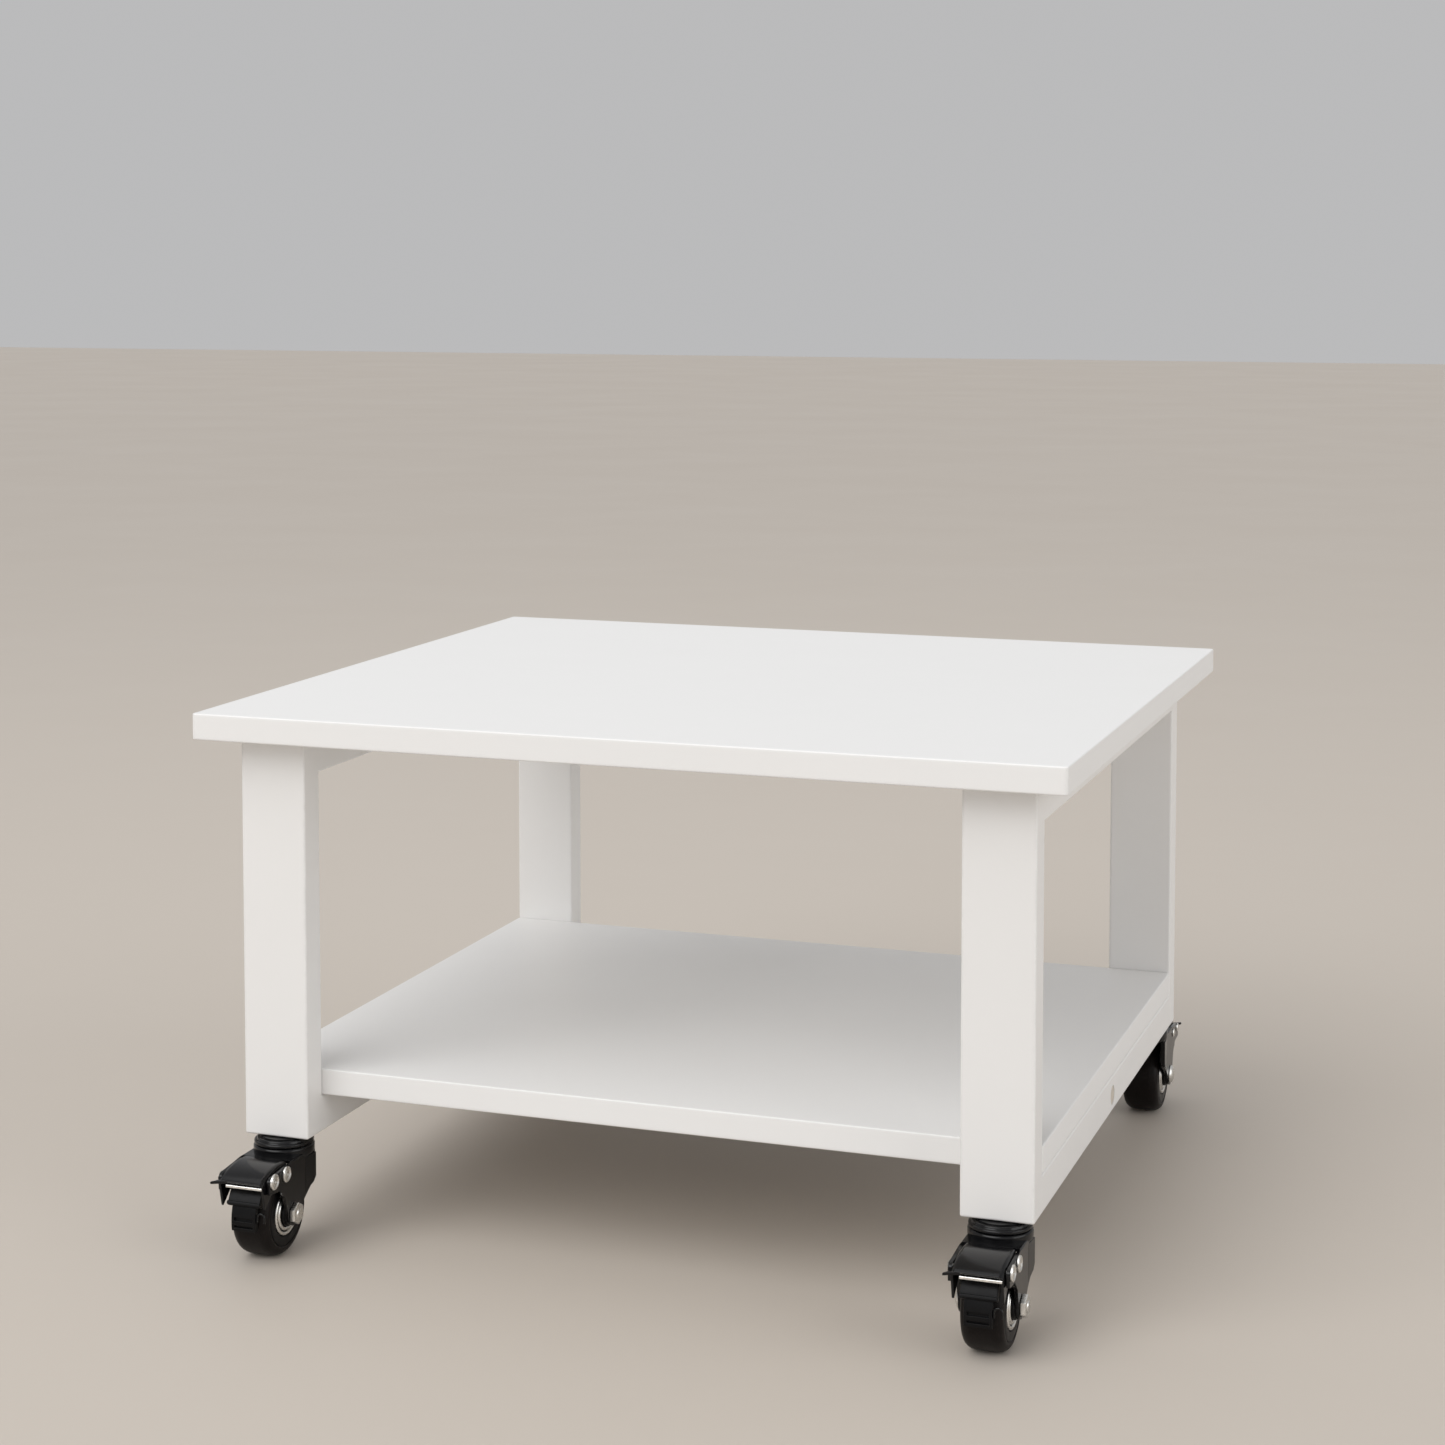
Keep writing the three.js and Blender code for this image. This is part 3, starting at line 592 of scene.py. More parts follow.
def side_frame(side, settings):
    """Two legs and two rails under one coat of lacquer, with the bore for the cover cap."""
    nodes = [f"leg_front_{side}", f"leg_rear_{side}", f"top_rail_{side}", f"bottom_rail_{side}"]
    front_low, front_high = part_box(nodes[0])
    _, rear_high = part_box(nodes[1])
    top_low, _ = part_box(nodes[2])
    _, bottom_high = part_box(nodes[3])
    cap_low, cap_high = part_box(f"cover_cap_{side}")
    x0, x1 = front_low.x, front_high.x
    window = (front_high.y, bottom_high.z, -front_high.y, top_low.z)
    bore = (cap_high.z - cap_low.z) / 2 + 0.25 * MM
    centre_z = (cap_high.z + cap_low.z) / 2

    def upright(y0, z0, y1, z1):
        return [(x0, y0, z0), (x0, y1, z0), (x0, y1, z1), (x0, y0, z1)]

    bm = bmesh.new()
    edges = ring_of_edges(bm, upright(front_low.y, front_low.z, rear_high.y, front_high.z))
    edges += ring_of_edges(bm, upright(*window))
    edges += ring_of_edges(bm, [(x0, y, z) for y, z in arc(0, centre_z, bore, 0, 345, 23)])
    flat = bmesh.ops.triangle_fill(bm, edges=edges, use_beauty=True, normal=(1, 0, 0))["geom"]
    faces = [item for item in flat if isinstance(item, bmesh.types.BMFace)]
    grown = moved_verts(bmesh.ops.extrude_face_region(bm, geom=faces))
    bmesh.ops.translate(bm, verts=grown, vec=(x1 - x0, 0, 0))
    loose = [e for e in bm.edges if not e.link_faces]
    bmesh.ops.delete(bm, geom=loose, context="EDGES")
    bmesh.ops.recalc_face_normals(bm, faces=bm.faces)
    straight = [e for e in sharp_edges(bm, 60) if e.calc_length() > 4 * bore or away(e, centre_z, bore)]
    soften(bm, settings.frame_radius, 3, straight)
    margin_on_flats(bm, MARGIN)
    finished(f"side_frame_{side}", bm, "frame_lacquer", "stand", nodes)


def away(edge, centre_z, bore):
    """True for an edge that isn't part of the cap's bore."""
    return all(math.hypot(v.co.y, v.co.z - centre_z) > 1.5 * bore for v in edge.verts)


def cover_cap(side):
    """A round plug with a softly domed face and a stub behind it."""
    low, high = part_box(f"cover_cap_{side}")
    out = 1 if side == "right" else -1
    face = (high.x if out > 0 else -low.x) / MM
    depth = (high.x - low.x) / MM
    radius = (high.z - low.z) / 2 / MM
    dome = [
        (0, face),
        (radius * 0.5, face - 0.04),
        (radius - 0.7, face - 0.14),
        (radius - 0.2, face - 0.34),
        (radius, face - 0.7),
    ]
    stub = [(radius, face - 2), (radius * 0.65, face - 2), (radius * 0.6, face - depth)]
    bm = bmesh.new()
    centre = (0, 0, (low.z + high.z) / 2 / MM)
    turned(bm, [*dome, *stub, (0, face - depth)], "X", centre, 40)
    place = Matrix.Rotation(0 if out > 0 else math.pi, 4, "Z") @ Matrix.Scale(MM, 4)
    finished(f"bolt_cover_{side}", bm, "cover_plastic", "stand", (f"cover_cap_{side}",), place)


# ---- Casters, each in its own frame in millimetres, with the pedal towards -y ----

FORK_IN = 14.2
FORK_OUT = 16.2
FORK_REAR = 6.5
CROWN_UNDER = 53.0
CROWN_TOP = 55.0
CROWN_NOSE = 7.5
HEAD_R = 17.4
RACE_TOP = 58.5
CUP_BASE = 58.9
CUP_R = 17.0
NECK_R = 13.0
NECK_TOP = 62.4
SEAT = 63.2
STEM_R = 4.0
STEM_TOP = 91.2
KING_R = 5.0
PEDAL_OUT = 13.8
PEDAL_REACH = 23.0
PEDAL_REAR = 5.6
PEDAL_TOP = 5.8
LIP_RISE = 0.4
TOOTH_DROP = 14.8
EAR = 3.5
EAR_AHEAD = 3.0
SHOE_W = 20.0
SHOE_T = 4.5
CLAW_W = 15.0
CLAW_T = 3.0
PEDAL_TRAVEL_DEG = 12
SHOE_GAP = 0.4
SHOE_DEG = (118, 161)
RIB_DEG = (156, 160)
CLAW_DEG = (158, 190)
SLOTS_DEG = (176, 184.7)
SLOT_HALF = 5.75
SLOT_DEPTH = 1.5
HOOK_WIRE_R = 0.65
HOOK_BEND_R = 2.2
HOOK_LEG = 2.9
HOOK_LEAN_DEG = -2.5
HOOK_DEG = 178
HOOK_X = 8.1
WHEEL_R = 24.5
WHEEL_HALF = 11.5
TYRE_SEAT = 19.0
HUB_R = 7.8


def caster_place(corner):
    swivel = JOINT_AT[f"caster_swivel_{corner}"]
    turn = math.pi if corner.startswith("rear") else 0.0
    on_floor = Matrix.Translation((swivel.x, swivel.y, 0))
    return on_floor @ Matrix.Rotation(turn, 4, "Z") @ Matrix.Scale(MM, 4)


def in_caster(joint):
    """(y, z) of a joint in the caster's own frame, in millimetres."""
    spot = JOINT_AT[f"{joint}_front_left"]
    return (spot - JOINT_AT["caster_swivel_front_left"]).y / MM, spot.z / MM


def caster_part(name, corner, bm, finish, body, *replaces, **walls):
    """A finished piece of one caster. Its name and those of its body and parts end in the corner."""
    here = f"_{corner}"
    nodes = [node + here for node in replaces]
    body = body if body == "stand" else body + here
    finished(name + here, bm, finish, body, nodes, caster_place(corner), **walls)


AXLE = in_caster("wheel_roll")
PIVOT = in_caster("brake_pedal")
SHOE_PIN = in_caster("shoe_link")


def caster_head(corner):
    """Stem, domed cup over the balls and the king rivet, turned in one piece."""
    roof = NECK_TOP - 1.6
    profile = [
        (0, CROWN_UNDER - 2.0), (5.6, CROWN_UNDER - 2.0), (7.0, CROWN_UNDER - 1.2),
        (7.0, CROWN_UNDER - 0.4), (KING_R - 0.4, CROWN_UNDER - 0.3), (KING_R - 0.4, roof - 0.6),
        (KING_R + 0.6, roof), (CUP_R - 3.4, roof), (CUP_R - 1.6, roof - 1.4),
        (CUP_R - 1.6, CUP_BASE),
        *arc(CUP_R - 0.5, CUP_BASE + 0.5, 0.5, -90, 0, 3),
        *arc(CUP_R - 1.1, CUP_BASE + 1.0, 1.1, 0, 75, 5)[1:],
        (CUP_R - 1.4, CUP_BASE + 2.1),
        *arc(CUP_R - 2.6, CUP_BASE + 2.7, 0.9, 0, 80, 5),
        (NECK_R + 0.6, CUP_BASE + 3.45), (NECK_R, NECK_TOP + 0.2), (NECK_R, SEAT),
        (STEM_R, SEAT),
    ]
    threads = []
    pitch = 1.25
    for turn in range(int((STEM_TOP - SEAT - 3) / pitch)):
        base = SEAT + 1.5 + turn * pitch
        threads += [(STEM_R - 0.55, base), (STEM_R, base + pitch / 2)]
    profile += [*threads, (STEM_R - 0.6, STEM_TOP - 0.8), (STEM_R - 1.2, STEM_TOP), (0, STEM_TOP)]
    bm = bmesh.new()
    turned(bm, profile, "Z", (0, 0, 0), 56)
    caster_part("caster_head", corner, bm, "black_enamel", "stand", "caster_stem")


def cheek_outline():
    """Side view of the fork, as (y, z) points."""
    (ay, az), (py, pz) = AXLE, PIVOT
    corner, heel = (FORK_REAR, az + 14.5), (ay + 10.5, az + 2.6)
    return [
        (FORK_REAR, CROWN_TOP),
        *interpolated(corner, (FORK_REAR, az + 11.5), (ay + 14, az + 6.5), heel, 6),
        *arc(ay, az, 7.0, -12, -188, 14),
        (py - 1, pz - 13), (py - 7, pz - 7.5), (SHOE_PIN[0] - 4, pz - 6.5),
        (SHOE_PIN[0] - 4.6, pz + 0.5), (SHOE_PIN[0] - 2.5, pz + 2.6), (py, pz + 4),
        (py + CROWN_NOSE, CROWN_TOP),
    ]


def interpolated(start, handle_a, handle_b, end, steps):
    """Points on a smooth curve between two ends."""
    knots = [Vector((0, y, z)) for y, z in (start, handle_a, handle_b, end)]
    return [(p.y, p.z) for p in interpolate_bezier(*knots, steps + 1)]


def bent_sheet(bm, points, half, bend, keep_top):
    """A block with the given outline, its long top edges bent round, opened below to a shell."""
    solid_outline(bm, points, -half, half)
    tops = [f for f in bm.faces if abs(f.normal.x) < 0.5 and keep_top(f)]
    ridge = {e for f in tops for e in f.edges if run_along(e, "x") < SAME_PLACE}
    below = [f for f in bm.faces if abs(f.normal.x) < 0.5 and not keep_top(f)]
    bmesh.ops.delete(bm, geom=below, context="FACES_ONLY")
    soften(bm, bend, 4, list(ridge))


def fork_piece(corner, settings):
    """Pressed fork: bent crown and cheeks, the lower race, and a band down each cheek."""

    def on_crown(face):
        return face.calc_center_median().z > CROWN_TOP - 0.01

    bm = bmesh.new()
    bent_sheet(bm, cheek_outline(), FORK_OUT, settings.bend_radius / MM, on_crown)
    walls = {"solidify": settings.fork_sheet, "round_off": 0.35 * MM}
    caster_part("fork_shell", corner, bm, "black_enamel", "swivel", "fork", **walls)
    bm = bmesh.new()
    race = [
        (KING_R + 0.4, CROWN_UNDER - 0.2), (HEAD_R - 1.2, CROWN_UNDER - 0.2),
        *arc(HEAD_R - 1.2, CROWN_UNDER + 1.0, 1.2, -90, 0, 3)[1:],
        *arc(HEAD_R - 1.5, RACE_TOP - 1.5, 1.5, 0, 90, 5),
        (HEAD_R - 2.6, RACE_TOP - 0.6), (HEAD_R - 3.4, CROWN_TOP + 0.2),
        (KING_R + 0.4, CROWN_TOP + 0.2), (KING_R + 0.4, CROWN_UNDER - 0.2),
    ]
    turned(bm, race, "Z")
    caster_part("lower_race", corner, bm, "black_enamel", "swivel")
    fork_bands(corner)


def fork_bands(corner):
    """A band down the rear of each cheek, which leans out towards the rear edge."""
    az = AXLE[1]
    band = [
        (FORK_REAR - 0.2, CROWN_TOP - 2.8), (FORK_REAR - 0.2, az + 13.7),
        (FORK_REAR - 3.0, az + 11.0), (-5.5, az + 7.5), (-5.5, CROWN_TOP - 2.8),
    ]
    bm = bmesh.new()
    for way in (1, -1):
        solid_outline(bm, band, way * (FORK_OUT - 0.2), way * (FORK_OUT + 0.85))
    for vert in bm.verts:
        if abs(vert.co.x) > FORK_OUT and vert.co.y < FORK_REAR - 3.5:
            vert.co.x = math.copysign(FORK_OUT + 0.05, vert.co.x)
    crests = [e for e in sharp_edges(bm, 20) if max(abs(v.co.x) for v in e.verts) > FORK_OUT + 0.5]
    soften(bm, 0.4, 3, crests)
    caster_part("fork_bands", corner, bm, "black_enamel", "swivel")


def wheel_pieces(corner):
    """Nylon core with hub, bright cover rings and the crowned tyre."""
    centre = (0, *AXLE)
    hub = FORK_IN - 0.4
    half = [
        (3.2, hub - 0.3), (3.5, hub), (HUB_R - 0.5, hub), (HUB_R, hub - 0.5),
        (HUB_R, WHEEL_HALF - 1.2), (HUB_R + 0.4, WHEEL_HALF - 1.6), (13.1, WHEEL_HALF - 1.6),
        (13.5, WHEEL_HALF - 1.2), (13.7, WHEEL_HALF - 0.3), (14.2, WHEEL_HALF),
        (TYRE_SEAT - 1.2, WHEEL_HALF), (TYRE_SEAT - 0.3, WHEEL_HALF - 0.4),
    ]
    profile = [(3.2, 0), *half, *[(r, -x) for r, x in reversed(half)], (3.2, 0)]
    bm = bmesh.new()
    turned(bm, profile, "X", centre, 64)
    caster_part("wheel_hub", corner, bm, "moulded_nylon", "wheel", "wheel_core")

    bm = bmesh.new()
    back = WHEEL_HALF - 1.5
    for way in (1, -1):
        outer = [(10.9, back), *arc(12.0, back + 0.9, 1.1, 180, 0, 8), (13.1, back), (10.9, back)]
        inner = [(8.0, back), *arc(9.1, back + 1.2, 1.1, 180, 0, 8), (10.2, back), (8.0, back)]
        for ring in (outer, inner):
            turned(bm, [(r, way * x) for r, x in ring], "X", centre, 64)
    caster_part("wheel_rings", corner, bm, "zinc_plate", "wheel")

    flat, drop = 5.5, 4.5
    quarter = arc(0, 0, 1, 0, 90, 10)
    side = [(WHEEL_R - drop * (1 - up), flat + (WHEEL_HALF - flat) * out) for out, up in quarter]
    bead = [(TYRE_SEAT, WHEEL_HALF - 0.6), (TYRE_SEAT + 0.5, WHEEL_HALF - 0.1)]
    right = [*bead, *side, (WHEEL_R, 0.35), (WHEEL_R - 0.12, 0.0)]
    left = [(r, -x) for r, x in reversed(right[:-1])]
    bm = bmesh.new()
    turned(bm, [*right, *left, (TYRE_SEAT, WHEEL_HALF - 0.6)], "X", centre, 80)
    caster_part("soft_tyre", corner, bm, "soft_tread", "wheel", "tyre")


def axle_pieces(corner):
    """Axle bolt with a domed head, its nut, and the pedal's pivot pin."""
    head = FORK_OUT + 0.3
    tip = FORK_OUT + 3.7
    profile = [
        (0, -head - 2.2), (2.4, -head - 2.1), (4.4, -head - 1.6), (5.5, -head - 0.8),
        (5.8, -head), (3.0, -head), (3.0, tip - 0.5), (2.4, tip), (0, tip),
    ]
    bm = bmesh.new()
    turned(bm, profile, "X", (0, *AXLE), 40)
    caster_part("axle", corner, bm, "zinc_plate", "swivel", "axle_bolt")

    bm = bmesh.new()
    hexagon = arc(*AXLE, 5.5 / math.cos(math.pi / 6), 30, 330, 5)
    solid_outline(bm, hexagon, head, head + 2.8)
    outer = [e for e in sharp_edges(bm, 60) if min(v.co.x for v in e.verts) > head + 2.7]
    soften(bm, 0.6, 2, outer)
    soften(bm, 0.15, 1, sharp_edges(bm, 50))
    caster_part("lock_nut", corner, bm, "zinc_plate", "swivel", "axle_nut")
    pin_piece("pivot_pin", corner, PIVOT, "swivel", "pedal_pin")


def pin_piece(name, corner, centre, body, node):
    """A pin with a dished head on the right and a small riveted end on the left."""
    seat = FORK_OUT + 0.3
    head = [
        (1.5, seat), (4.4, seat), (4.4, seat + 0.75), (3.95, seat + 1.15), (3.3, seat + 1.2),
        (2.95, seat + 0.5), (2.35, seat + 0.5), (2.0, seat + 0.95), (0.9, seat + 1.0),
        (0.7, seat + 0.45), (0, seat + 0.4),
    ]
    tail = [(0, -seat - 0.8), (1.4, -seat - 0.75), (2.4, -seat - 0.5), (2.8, -seat), (1.5, -seat)]
    bm = bmesh.new()
    turned(bm, [*tail, *head], "X", (0, *centre), 32)
    caster_part(name, corner, bm, "zinc_plate", body, node)


def pedal_top():
    """Top line of the pedal from its rear edge to its lip, as (y, z) points."""
    py, pz = PIVOT
    rear, lip = (py + PEDAL_REAR, pz + PEDAL_TOP), (py - PEDAL_REACH, pz + LIP_RISE)
    return interpolated(rear, (py - 6, pz + 7.0), (py - 17, pz + 5.2), lip, 12)


def pedal_piece(corner, settings):
    """Pressed pedal: curved tread plate bent down into two cheeks with teeth, and an ear."""
    py, pz = PIVOT
    top = pedal_top()
    outline = [
        *top,
        (py - PEDAL_REACH + 3.5, pz - TOOTH_DROP),
        (py - PEDAL_REACH + 6.5, pz - TOOTH_DROP + 2.5), (SHOE_PIN[0] + 2, pz - 8.5),
        (py - 4, pz - 5.4), (py + PEDAL_REAR, pz - 4),
    ]
    lines = [Vector((0, *p)) for p in top]

    def on_top(face):
        middle = face.calc_center_median()
        spot = Vector((0, middle.y, middle.z))
        return face.normal.z > 0.2 and min((spot - p).length for p in lines) < 2.0

    bm = bmesh.new()
    bent_sheet(bm, outline, PEDAL_OUT, settings.bend_radius / MM, on_top)
    walls = {"solidify": settings.pedal_sheet, "round_off": 0.3 * MM}
    caster_part("pedal_plate", corner, bm, "black_enamel", "pedal", "brake_pedal", **walls)

    lip_y, lip_z = py - PEDAL_REACH, pz + LIP_RISE
    bm = bmesh.new()
    corners = [
        (-PEDAL_OUT + 0.6, lip_y + 5.5), (-PEDAL_OUT - EAR * 0.45, lip_y + 0.2),
        (-PEDAL_OUT - EAR, lip_y - EAR_AHEAD),
        (-PEDAL_OUT - EAR * 0.2, lip_y - EAR_AHEAD * 0.5), (-PEDAL_OUT + 5, lip_y + 0.6),
    ]
    face = bm.faces.new([bm.verts.new((x, y, lip_z - 1.7)) for x, y in corners])
    grown = moved_verts(bmesh.ops.extrude_face_region(bm, geom=[face]))
    bmesh.ops.translate(bm, verts=grown, vec=(0, 0, 1.7))
    bmesh.ops.recalc_face_normals(bm, faces=bm.faces)
    soften(bm, 0.4, 2)
    caster_part("pedal_ear", corner, bm, "black_enamel", "pedal")
    pin_piece("link_pin", corner, SHOE_PIN, "pedal", "shoe_pin")
    leaf_spring(corner, lip_y, lip_z)


def leaf_spring(corner, lip_y, lip_z):
    """Bright spring strip under the tread plate, its front edge turned down below the lip."""
    under = lip_z - 1.75
    strip = [
        (lip_y + 0.3, under - 1.7), (lip_y + 0.3, under - 0.5), (lip_y + 0.8, under),
        (lip_y + 7.0, under + 1.2), (lip_y + 7.0, under + 0.7), (lip_y + 1.0, under - 0.6),
        (lip_y + 0.9, under - 1.7),
    ]
    bm = bmesh.new()
    solid_outline(bm, strip, -9.2, 13.2)
    soften(bm, 0.12, 1)
    caster_part("leaf_spring", corner, bm, "zinc_plate", "pedal")


def shoe_centre():
    """Middle of the shoe's arc at rest, on the line from the shoe pin to the axle."""
    pin, axle = Vector(SHOE_PIN), Vector(AXLE)
    travel = math.radians(PEDAL_TRAVEL_DEG)
    spacing = PIVOT[0] - SHOE_PIN[0]
    pressed = Vector((PIVOT[0] - spacing * math.cos(travel), PIVOT[1] - spacing * math.sin(travel)))
    return pin + (axle - pin) * ((pressed - axle).length / (pin - axle).length)


def swept_block(bm, section, centre, start, end, steps):
    """A section of (x, radius) points swept round the wheel from one angle to another, in degrees."""
    first = math.radians(start)
    direction = Vector((0, math.cos(first), math.sin(first)))
    middle = Vector((0, *centre))
    verts = [bm.verts.new(middle + direction * r + Vector((x, 0, 0))) for x, r in section]
    face = bm.faces.new(verts)
    geom = [*verts, *face.edges, face]
    turn = math.radians(end - start)
    bmesh.ops.spin(bm, geom=geom, cent=middle, axis=(1, 0, 0), angle=turn, steps=steps)
    bmesh.ops.recalc_face_normals(bm, faces=bm.faces)


def shoe_piece(corner):
    """Moulded shoe: block with a rib over the tread, and a claw with two slots below it."""
    centre = shoe_centre()
    inner = WHEEL_R + SHOE_GAP
    outer = inner + SHOE_T
    wide = SHOE_W / 2
    bm = bmesh.new()
    block = [(-wide, inner), (wide, inner), (wide, outer), (-wide, outer)]
    swept_block(bm, block, centre, *SHOE_DEG, 10)
    soften(bm, 0.6, 2)
    proud = wide + 0.3
    rib = [(-proud, inner + 1), (proud, inner + 1), (proud, outer + 0.7), (-proud, outer + 0.7)]
    rib_bm = bmesh.new()
    swept_block(rib_bm, rib, centre, *RIB_DEG, 3)
    soften(rib_bm, 0.5, 3)
    append(bm, rib_bm)
    boss = bmesh.new()
    half = [(0, wide), (2.2, wide), (2.5, wide - 0.3)]
    profile = [*[(r, -x) for r, x in half], *reversed(half)]
    turned(boss, profile, "X", (0, *SHOE_PIN), 24)
    append(bm, boss)
    neck = bmesh.new()
    y, z = SHOE_PIN
    side = [(y + 1.8, z + 1.6), (y - 2.4, z), (y - 1.5, z - 6.5), (y + 5, z - 4.5), (y + 6, z - 0.5)]
    solid_outline(neck, side, -wide + 0.2, wide - 0.2)
    soften(neck, 0.4, 2)
    append(bm, neck)
    append(bm, claw_shape(centre, inner))
    caster_part("shoe_block", corner, bm, "moulded_nylon", "shoe", "brake_shoe")
    hook_piece(corner, centre, inner)


def append(bm, other):
    """Adds another shape to a shape."""
    mesh = bpy.data.meshes.new("part")
    other.to_mesh(mesh)
    other.free()
    bm.from_mesh(mesh)
    bpy.data.meshes.remove(mesh)


def claw_shape(centre, inner):
    """Lower end of the shoe, two slots sunk across its face."""
    bm = bmesh.new()
    wide, slot, top = CLAW_W / 2, SLOT_HALF, inner + CLAW_T
    section = [(-wide, inner), (wide, inner), (wide, top), (slot, top), (-slot, top), (-wide, top)]
    steps = 24
    swept_block(bm, section, centre, *CLAW_DEG, steps)
    middle = Vector((0, *centre))
    reach = 1.1 * (CLAW_DEG[1] - CLAW_DEG[0]) / steps

    def in_slot(face):
        spot = face.calc_center_median() - middle
        angle = math.degrees(math.atan2(spot.z, spot.y)) % 360
        outer = Vector((0, spot.y, spot.z)).length > top - 0.3
        return outer and abs(spot.x) < slot and any(abs(angle - at) < reach for at in SLOTS_DEG)

    faces = [f for f in bm.faces if in_slot(f) and abs(f.normal.x) < 0.5]
    rims = list({e for f in faces for e in f.edges})
    sunk = moved_verts(bmesh.ops.extrude_face_region(bm, geom=[*faces, *rims]))
    for vert in sunk:
        spot = Vector((0, vert.co.y - middle.y, vert.co.z - middle.z))
        bmesh.ops.translate(bm, verts=[vert], vec=-spot.normalized() * SLOT_DEPTH)
    bmesh.ops.recalc_face_normals(bm, faces=bm.faces)
    soften(bm, 0.25, 2, sharp_edges(bm, 60))
    return bm


def hook_piece(corner, centre, inner):
    """Bent wire end of the brake spring, beside the claw."""
    bm = bmesh.new()
    ring = bmesh.ops.create_circle(bm, cap_ends=False, radius=HOOK_WIRE_R, segments=10)["verts"]

    def rim_of(verts):
        return [e for e in bm.edges if all(v in set(verts) for v in e.verts)]

    verts = moved_verts(bmesh.ops.extrude_edge_only(bm, edges=rim_of(ring)))
    bmesh.ops.translate(bm, verts=verts, vec=(0, 0, HOOK_LEG))
    geom = verts + rim_of(verts)
    centre_of_bend = (HOOK_BEND_R, 0, HOOK_LEG)
    bend = bmesh.ops.spin(
        bm, geom=geom, cent=centre_of_bend, axis=(0, 1, 0), angle=math.pi, steps=10
    )
    last = [v for v in bend["geom_last"] if isinstance(v, bmesh.types.BMVert)]
    down = moved_verts(bmesh.ops.extrude_edge_only(bm, edges=rim_of(last)))
    bmesh.ops.translate(bm, verts=down, vec=(0, 0, -HOOK_LEG))
    bmesh.ops.holes_fill(bm, edges=[e for e in bm.edges if e.is_boundary], sides=12)
    lean = Matrix.Rotation(math.radians(HOOK_LEAN_DEG), 3, "X")
    bmesh.ops.rotate(bm, verts=bm.verts, cent=(0, 0, 0), matrix=lean)
    y, z = arc(*centre, inner + 1.6, HOOK_DEG, HOOK_DEG, 1)[0]
    bmesh.ops.translate(bm, verts=bm.verts, vec=(HOOK_X, y, z))
    caster_part("spring_hook", corner, bm, "black_enamel", "shoe")


# ---- Operators ----


class StandOperator(bpy.types.Operator):
    """Shared options of the stand's operators."""

    bl_options = {"REGISTER", "UNDO"}


class STAND_OT_boards(StandOperator):
    """Make the top board and the shelf"""

    bl_idname = "stand.boards"
    bl_label = "Boards"

    def execute(self, context):
        settings = context.scene.stand_boards
        board_piece("printer_board", "top_board", settings)
        board_piece("lower_shelf", "shelf", settings)
        return {"FINISHED"}


class STAND_OT_side_frames(StandOperator):
    """Make the two side frames, their cover caps and the beam between them"""

    bl_idname = "stand.side_frames"
    bl_label = "Side frames"

    def execute(self, context):
        for side in ("left", "right"):
            side_frame(side, context.scene.stand_boards)
            cover_cap(side)
            dress_node(f"beam_bolt_{side}", "zinc_plate")
        beam_piece(context.scene.stand_boards)
        return {"FINISHED"}


class STAND_OT_caster_heads(StandOperator):
    """Make the stems with their cups, and finish the ball rings"""

    bl_idname = "stand.caster_heads"
    bl_label = "Caster heads"

    def execute(self, context):
        for corner in CORNERS:
            caster_head(corner)
            dress_node(f"ball_ring_{corner}", "zinc_plate")
        return {"FINISHED"}


class STAND_OT_forks(StandOperator):
    """Make the pressed forks and their lower races"""

    bl_idname = "stand.forks"
    bl_label = "Forks"

    def execute(self, context):
        for corner in CORNERS:
            fork_piece(corner, context.scene.stand_casters)
        return {"FINISHED"}


class STAND_OT_wheels(StandOperator):
    """Make the wheel cores, cover rings and tyres"""

    bl_idname = "stand.wheels"
    bl_label = "Wheels"

    def execute(self, context):
        for corner in CORNERS:
            wheel_pieces(corner)
        return {"FINISHED"}


class STAND_OT_axles(StandOperator):
    """Make the axle bolts, nuts and pivot pins"""

    bl_idname = "stand.axles"
    bl_label = "Axles and pins"

    def execute(self, context):
        for corner in CORNERS:
            axle_pieces(corner)
        return {"FINISHED"}


class STAND_OT_brakes(StandOperator):
    """Make the brake pedals, springs and shoes"""

    bl_idname = "stand.brakes"
    bl_label = "Brakes"

    def execute(self, context):
        for corner in CORNERS:
            pedal_piece(corner, context.scene.stand_casters)
            shoe_piece(corner)
        return {"FINISHED"}


class STAND_OT_stage(StandOperator):
    """Make the floor, the lamps and the camera"""

    bl_idname = "stand.stage"
    bl_label = "Stage"

    def execute(self, context):
        settings = context.scene.stand_stage
        make_floor()
        make_lamps(settings)
        make_camera(settings)
        return {"FINISHED"}


def make_floor():
    bm = bmesh.new()
    bmesh.ops.create_grid(bm, x_segments=2, y_segments=2, size=14.0)
    mesh = bpy.data.meshes.new("floor")
    bm.to_mesh(mesh)
    bm.free()
    mesh.materials.append(finish_of("pale_floor"))
    floor = bpy.data.objects.new("floor", mesh)
    bpy.context.scene.collection.objects.link(floor)


def area_lamp(name, position, aim, size, power):
    data = bpy.data.lights.new(name, "AREA")
    data.shape = "RECTANGLE"
    data.size, data.size_y = size
    data.energy = power
    lamp = bpy.data.objects.new(name, data)
    lamp.location = position
    lamp.rotation_euler = (Vector(aim) - Vector(position)).to_track_quat("-Z", "Y").to_euler()
    bpy.context.scene.collection.objects.link(lamp)


def sun_lamp(name, direction, strength):
    data = bpy.data.lights.new(name, "SUN")
    data.energy = strength
    data.angle = math.radians(50)
    lamp = bpy.data.objects.new(name, data)
    lamp.rotation_euler = Vector(direction).to_track_quat("-Z", "Y").to_euler()
    bpy.context.scene.collection.objects.link(lamp)


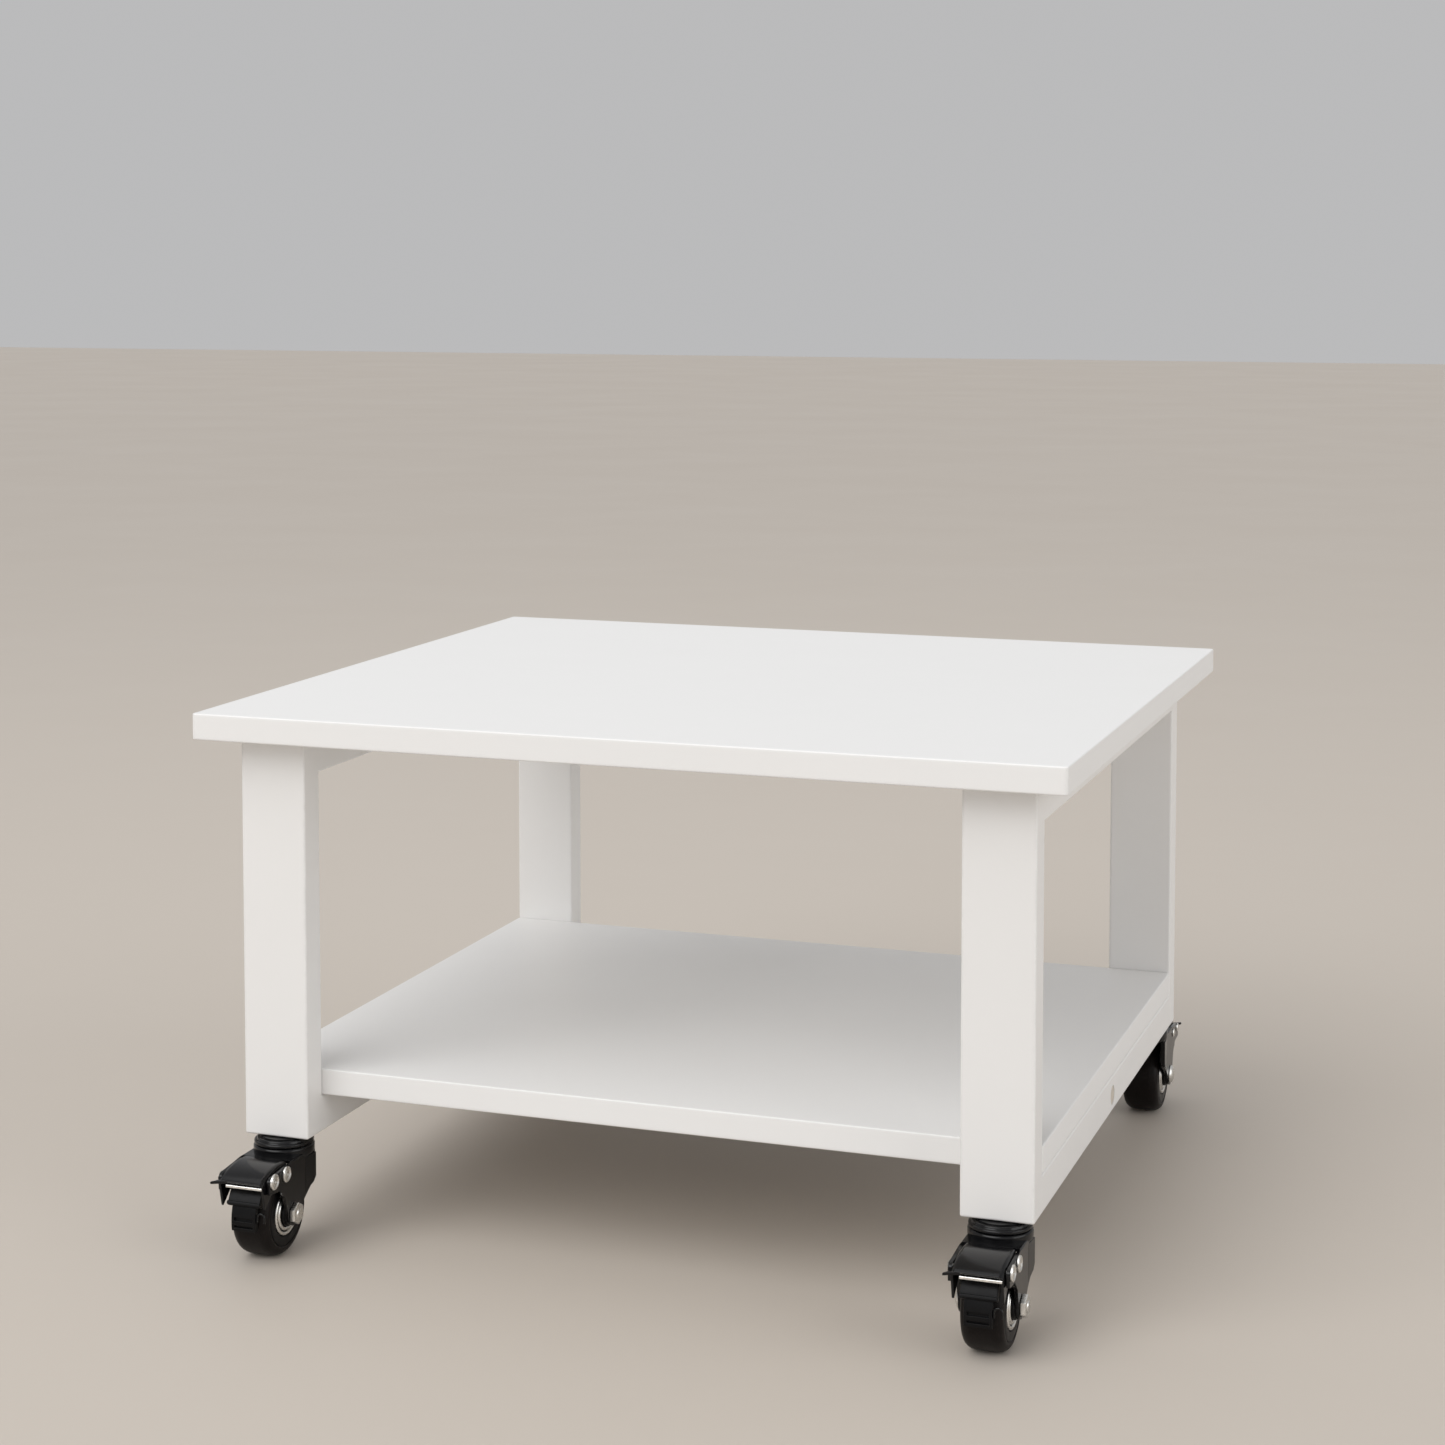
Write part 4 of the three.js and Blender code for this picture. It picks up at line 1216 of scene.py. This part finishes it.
def make_lamps(settings):
    """Broad light from the front left, softer from the right, the front and above, and a pale sky."""
    sun_lamp("broad_light", (0.42, 0.8, -1.0), settings.broad)
    sun_lamp("side_light", (-1.0, 0.15, -0.3), settings.broad * 0.83)
    sun_lamp("front_light", (-0.35, 1.0, -0.12), settings.broad * 0.16)
    aim = (0, 0, 0.15)
    area_lamp("key_lamp", (-1.1, -2.4, 1.9), aim, (2.2, 1.6), settings.key_power)
    area_lamp("top_lamp", (-0.4, 0.3, 2.8), aim, (2.4, 2.0), settings.key_power * 0.7)
    world = bpy.data.worlds.new("pale_room")
    world.use_nodes = True
    board = NodeBoard(world.node_tree)
    sky = board.add("ShaderNodeBackground", Color=(0.99, 0.99, 1.0, 1.0), Strength=settings.sky)
    board.add("ShaderNodeOutputWorld", Surface=sky.outputs[0])
    bpy.context.scene.world = world
    bpy.context.scene.view_settings.view_transform = "Standard"


def make_camera(settings):
    data = bpy.data.cameras.new("camera")
    data.sensor_width = 36.0
    data.lens = settings.lens
    data.shift_y = settings.shift_y
    camera = bpy.data.objects.new("camera", data)
    camera.location = settings.position
    camera.rotation_euler = (math.pi / 2 - settings.pitch, 0, settings.yaw)
    bpy.context.scene.collection.objects.link(camera)
    bpy.context.scene.camera = camera


class STAND_PT_panel(bpy.types.Panel):
    """Builds the stand from the sidebar"""

    bl_idname = "STAND_PT_panel"
    bl_label = "Printer stand"
    bl_space_type = "VIEW_3D"
    bl_region_type = "UI"
    bl_category = "Stand"

    def draw(self, context):
        layout = self.layout
        for operator in OPERATORS:
            layout.operator(operator.bl_idname)
        for name in SETTINGS:
            group = getattr(context.scene, name)
            box = layout.box()
            for field in group.bl_rna.properties.keys():
                if field not in ("rna_type", "name"):
                    box.prop(group, field)


OPERATORS = (
    STAND_OT_stage,
    STAND_OT_boards,
    STAND_OT_side_frames,
    STAND_OT_caster_heads,
    STAND_OT_forks,
    STAND_OT_wheels,
    STAND_OT_axles,
    STAND_OT_brakes,
)
SETTINGS = {
    "stand_boards": StandBoardSettings,
    "stand_casters": StandCasterSettings,
    "stand_stage": StandStageSettings,
}
CLASSES = (*SETTINGS.values(), *OPERATORS, STAND_PT_panel)


def register():
    for cls in CLASSES:
        bpy.utils.register_class(cls)
    for name, group in SETTINGS.items():
        setattr(bpy.types.Scene, name, bpy.props.PointerProperty(type=group))


def unregister():
    for name in SETTINGS:
        delattr(bpy.types.Scene, name)
    for cls in reversed(CLASSES):
        bpy.utils.unregister_class(cls)


def main():
    register()
    for operator in OPERATORS:
        category, _, name = operator.bl_idname.partition(".")
        getattr(getattr(bpy.ops, category), name)()


if __name__ == "__main__":
    main()
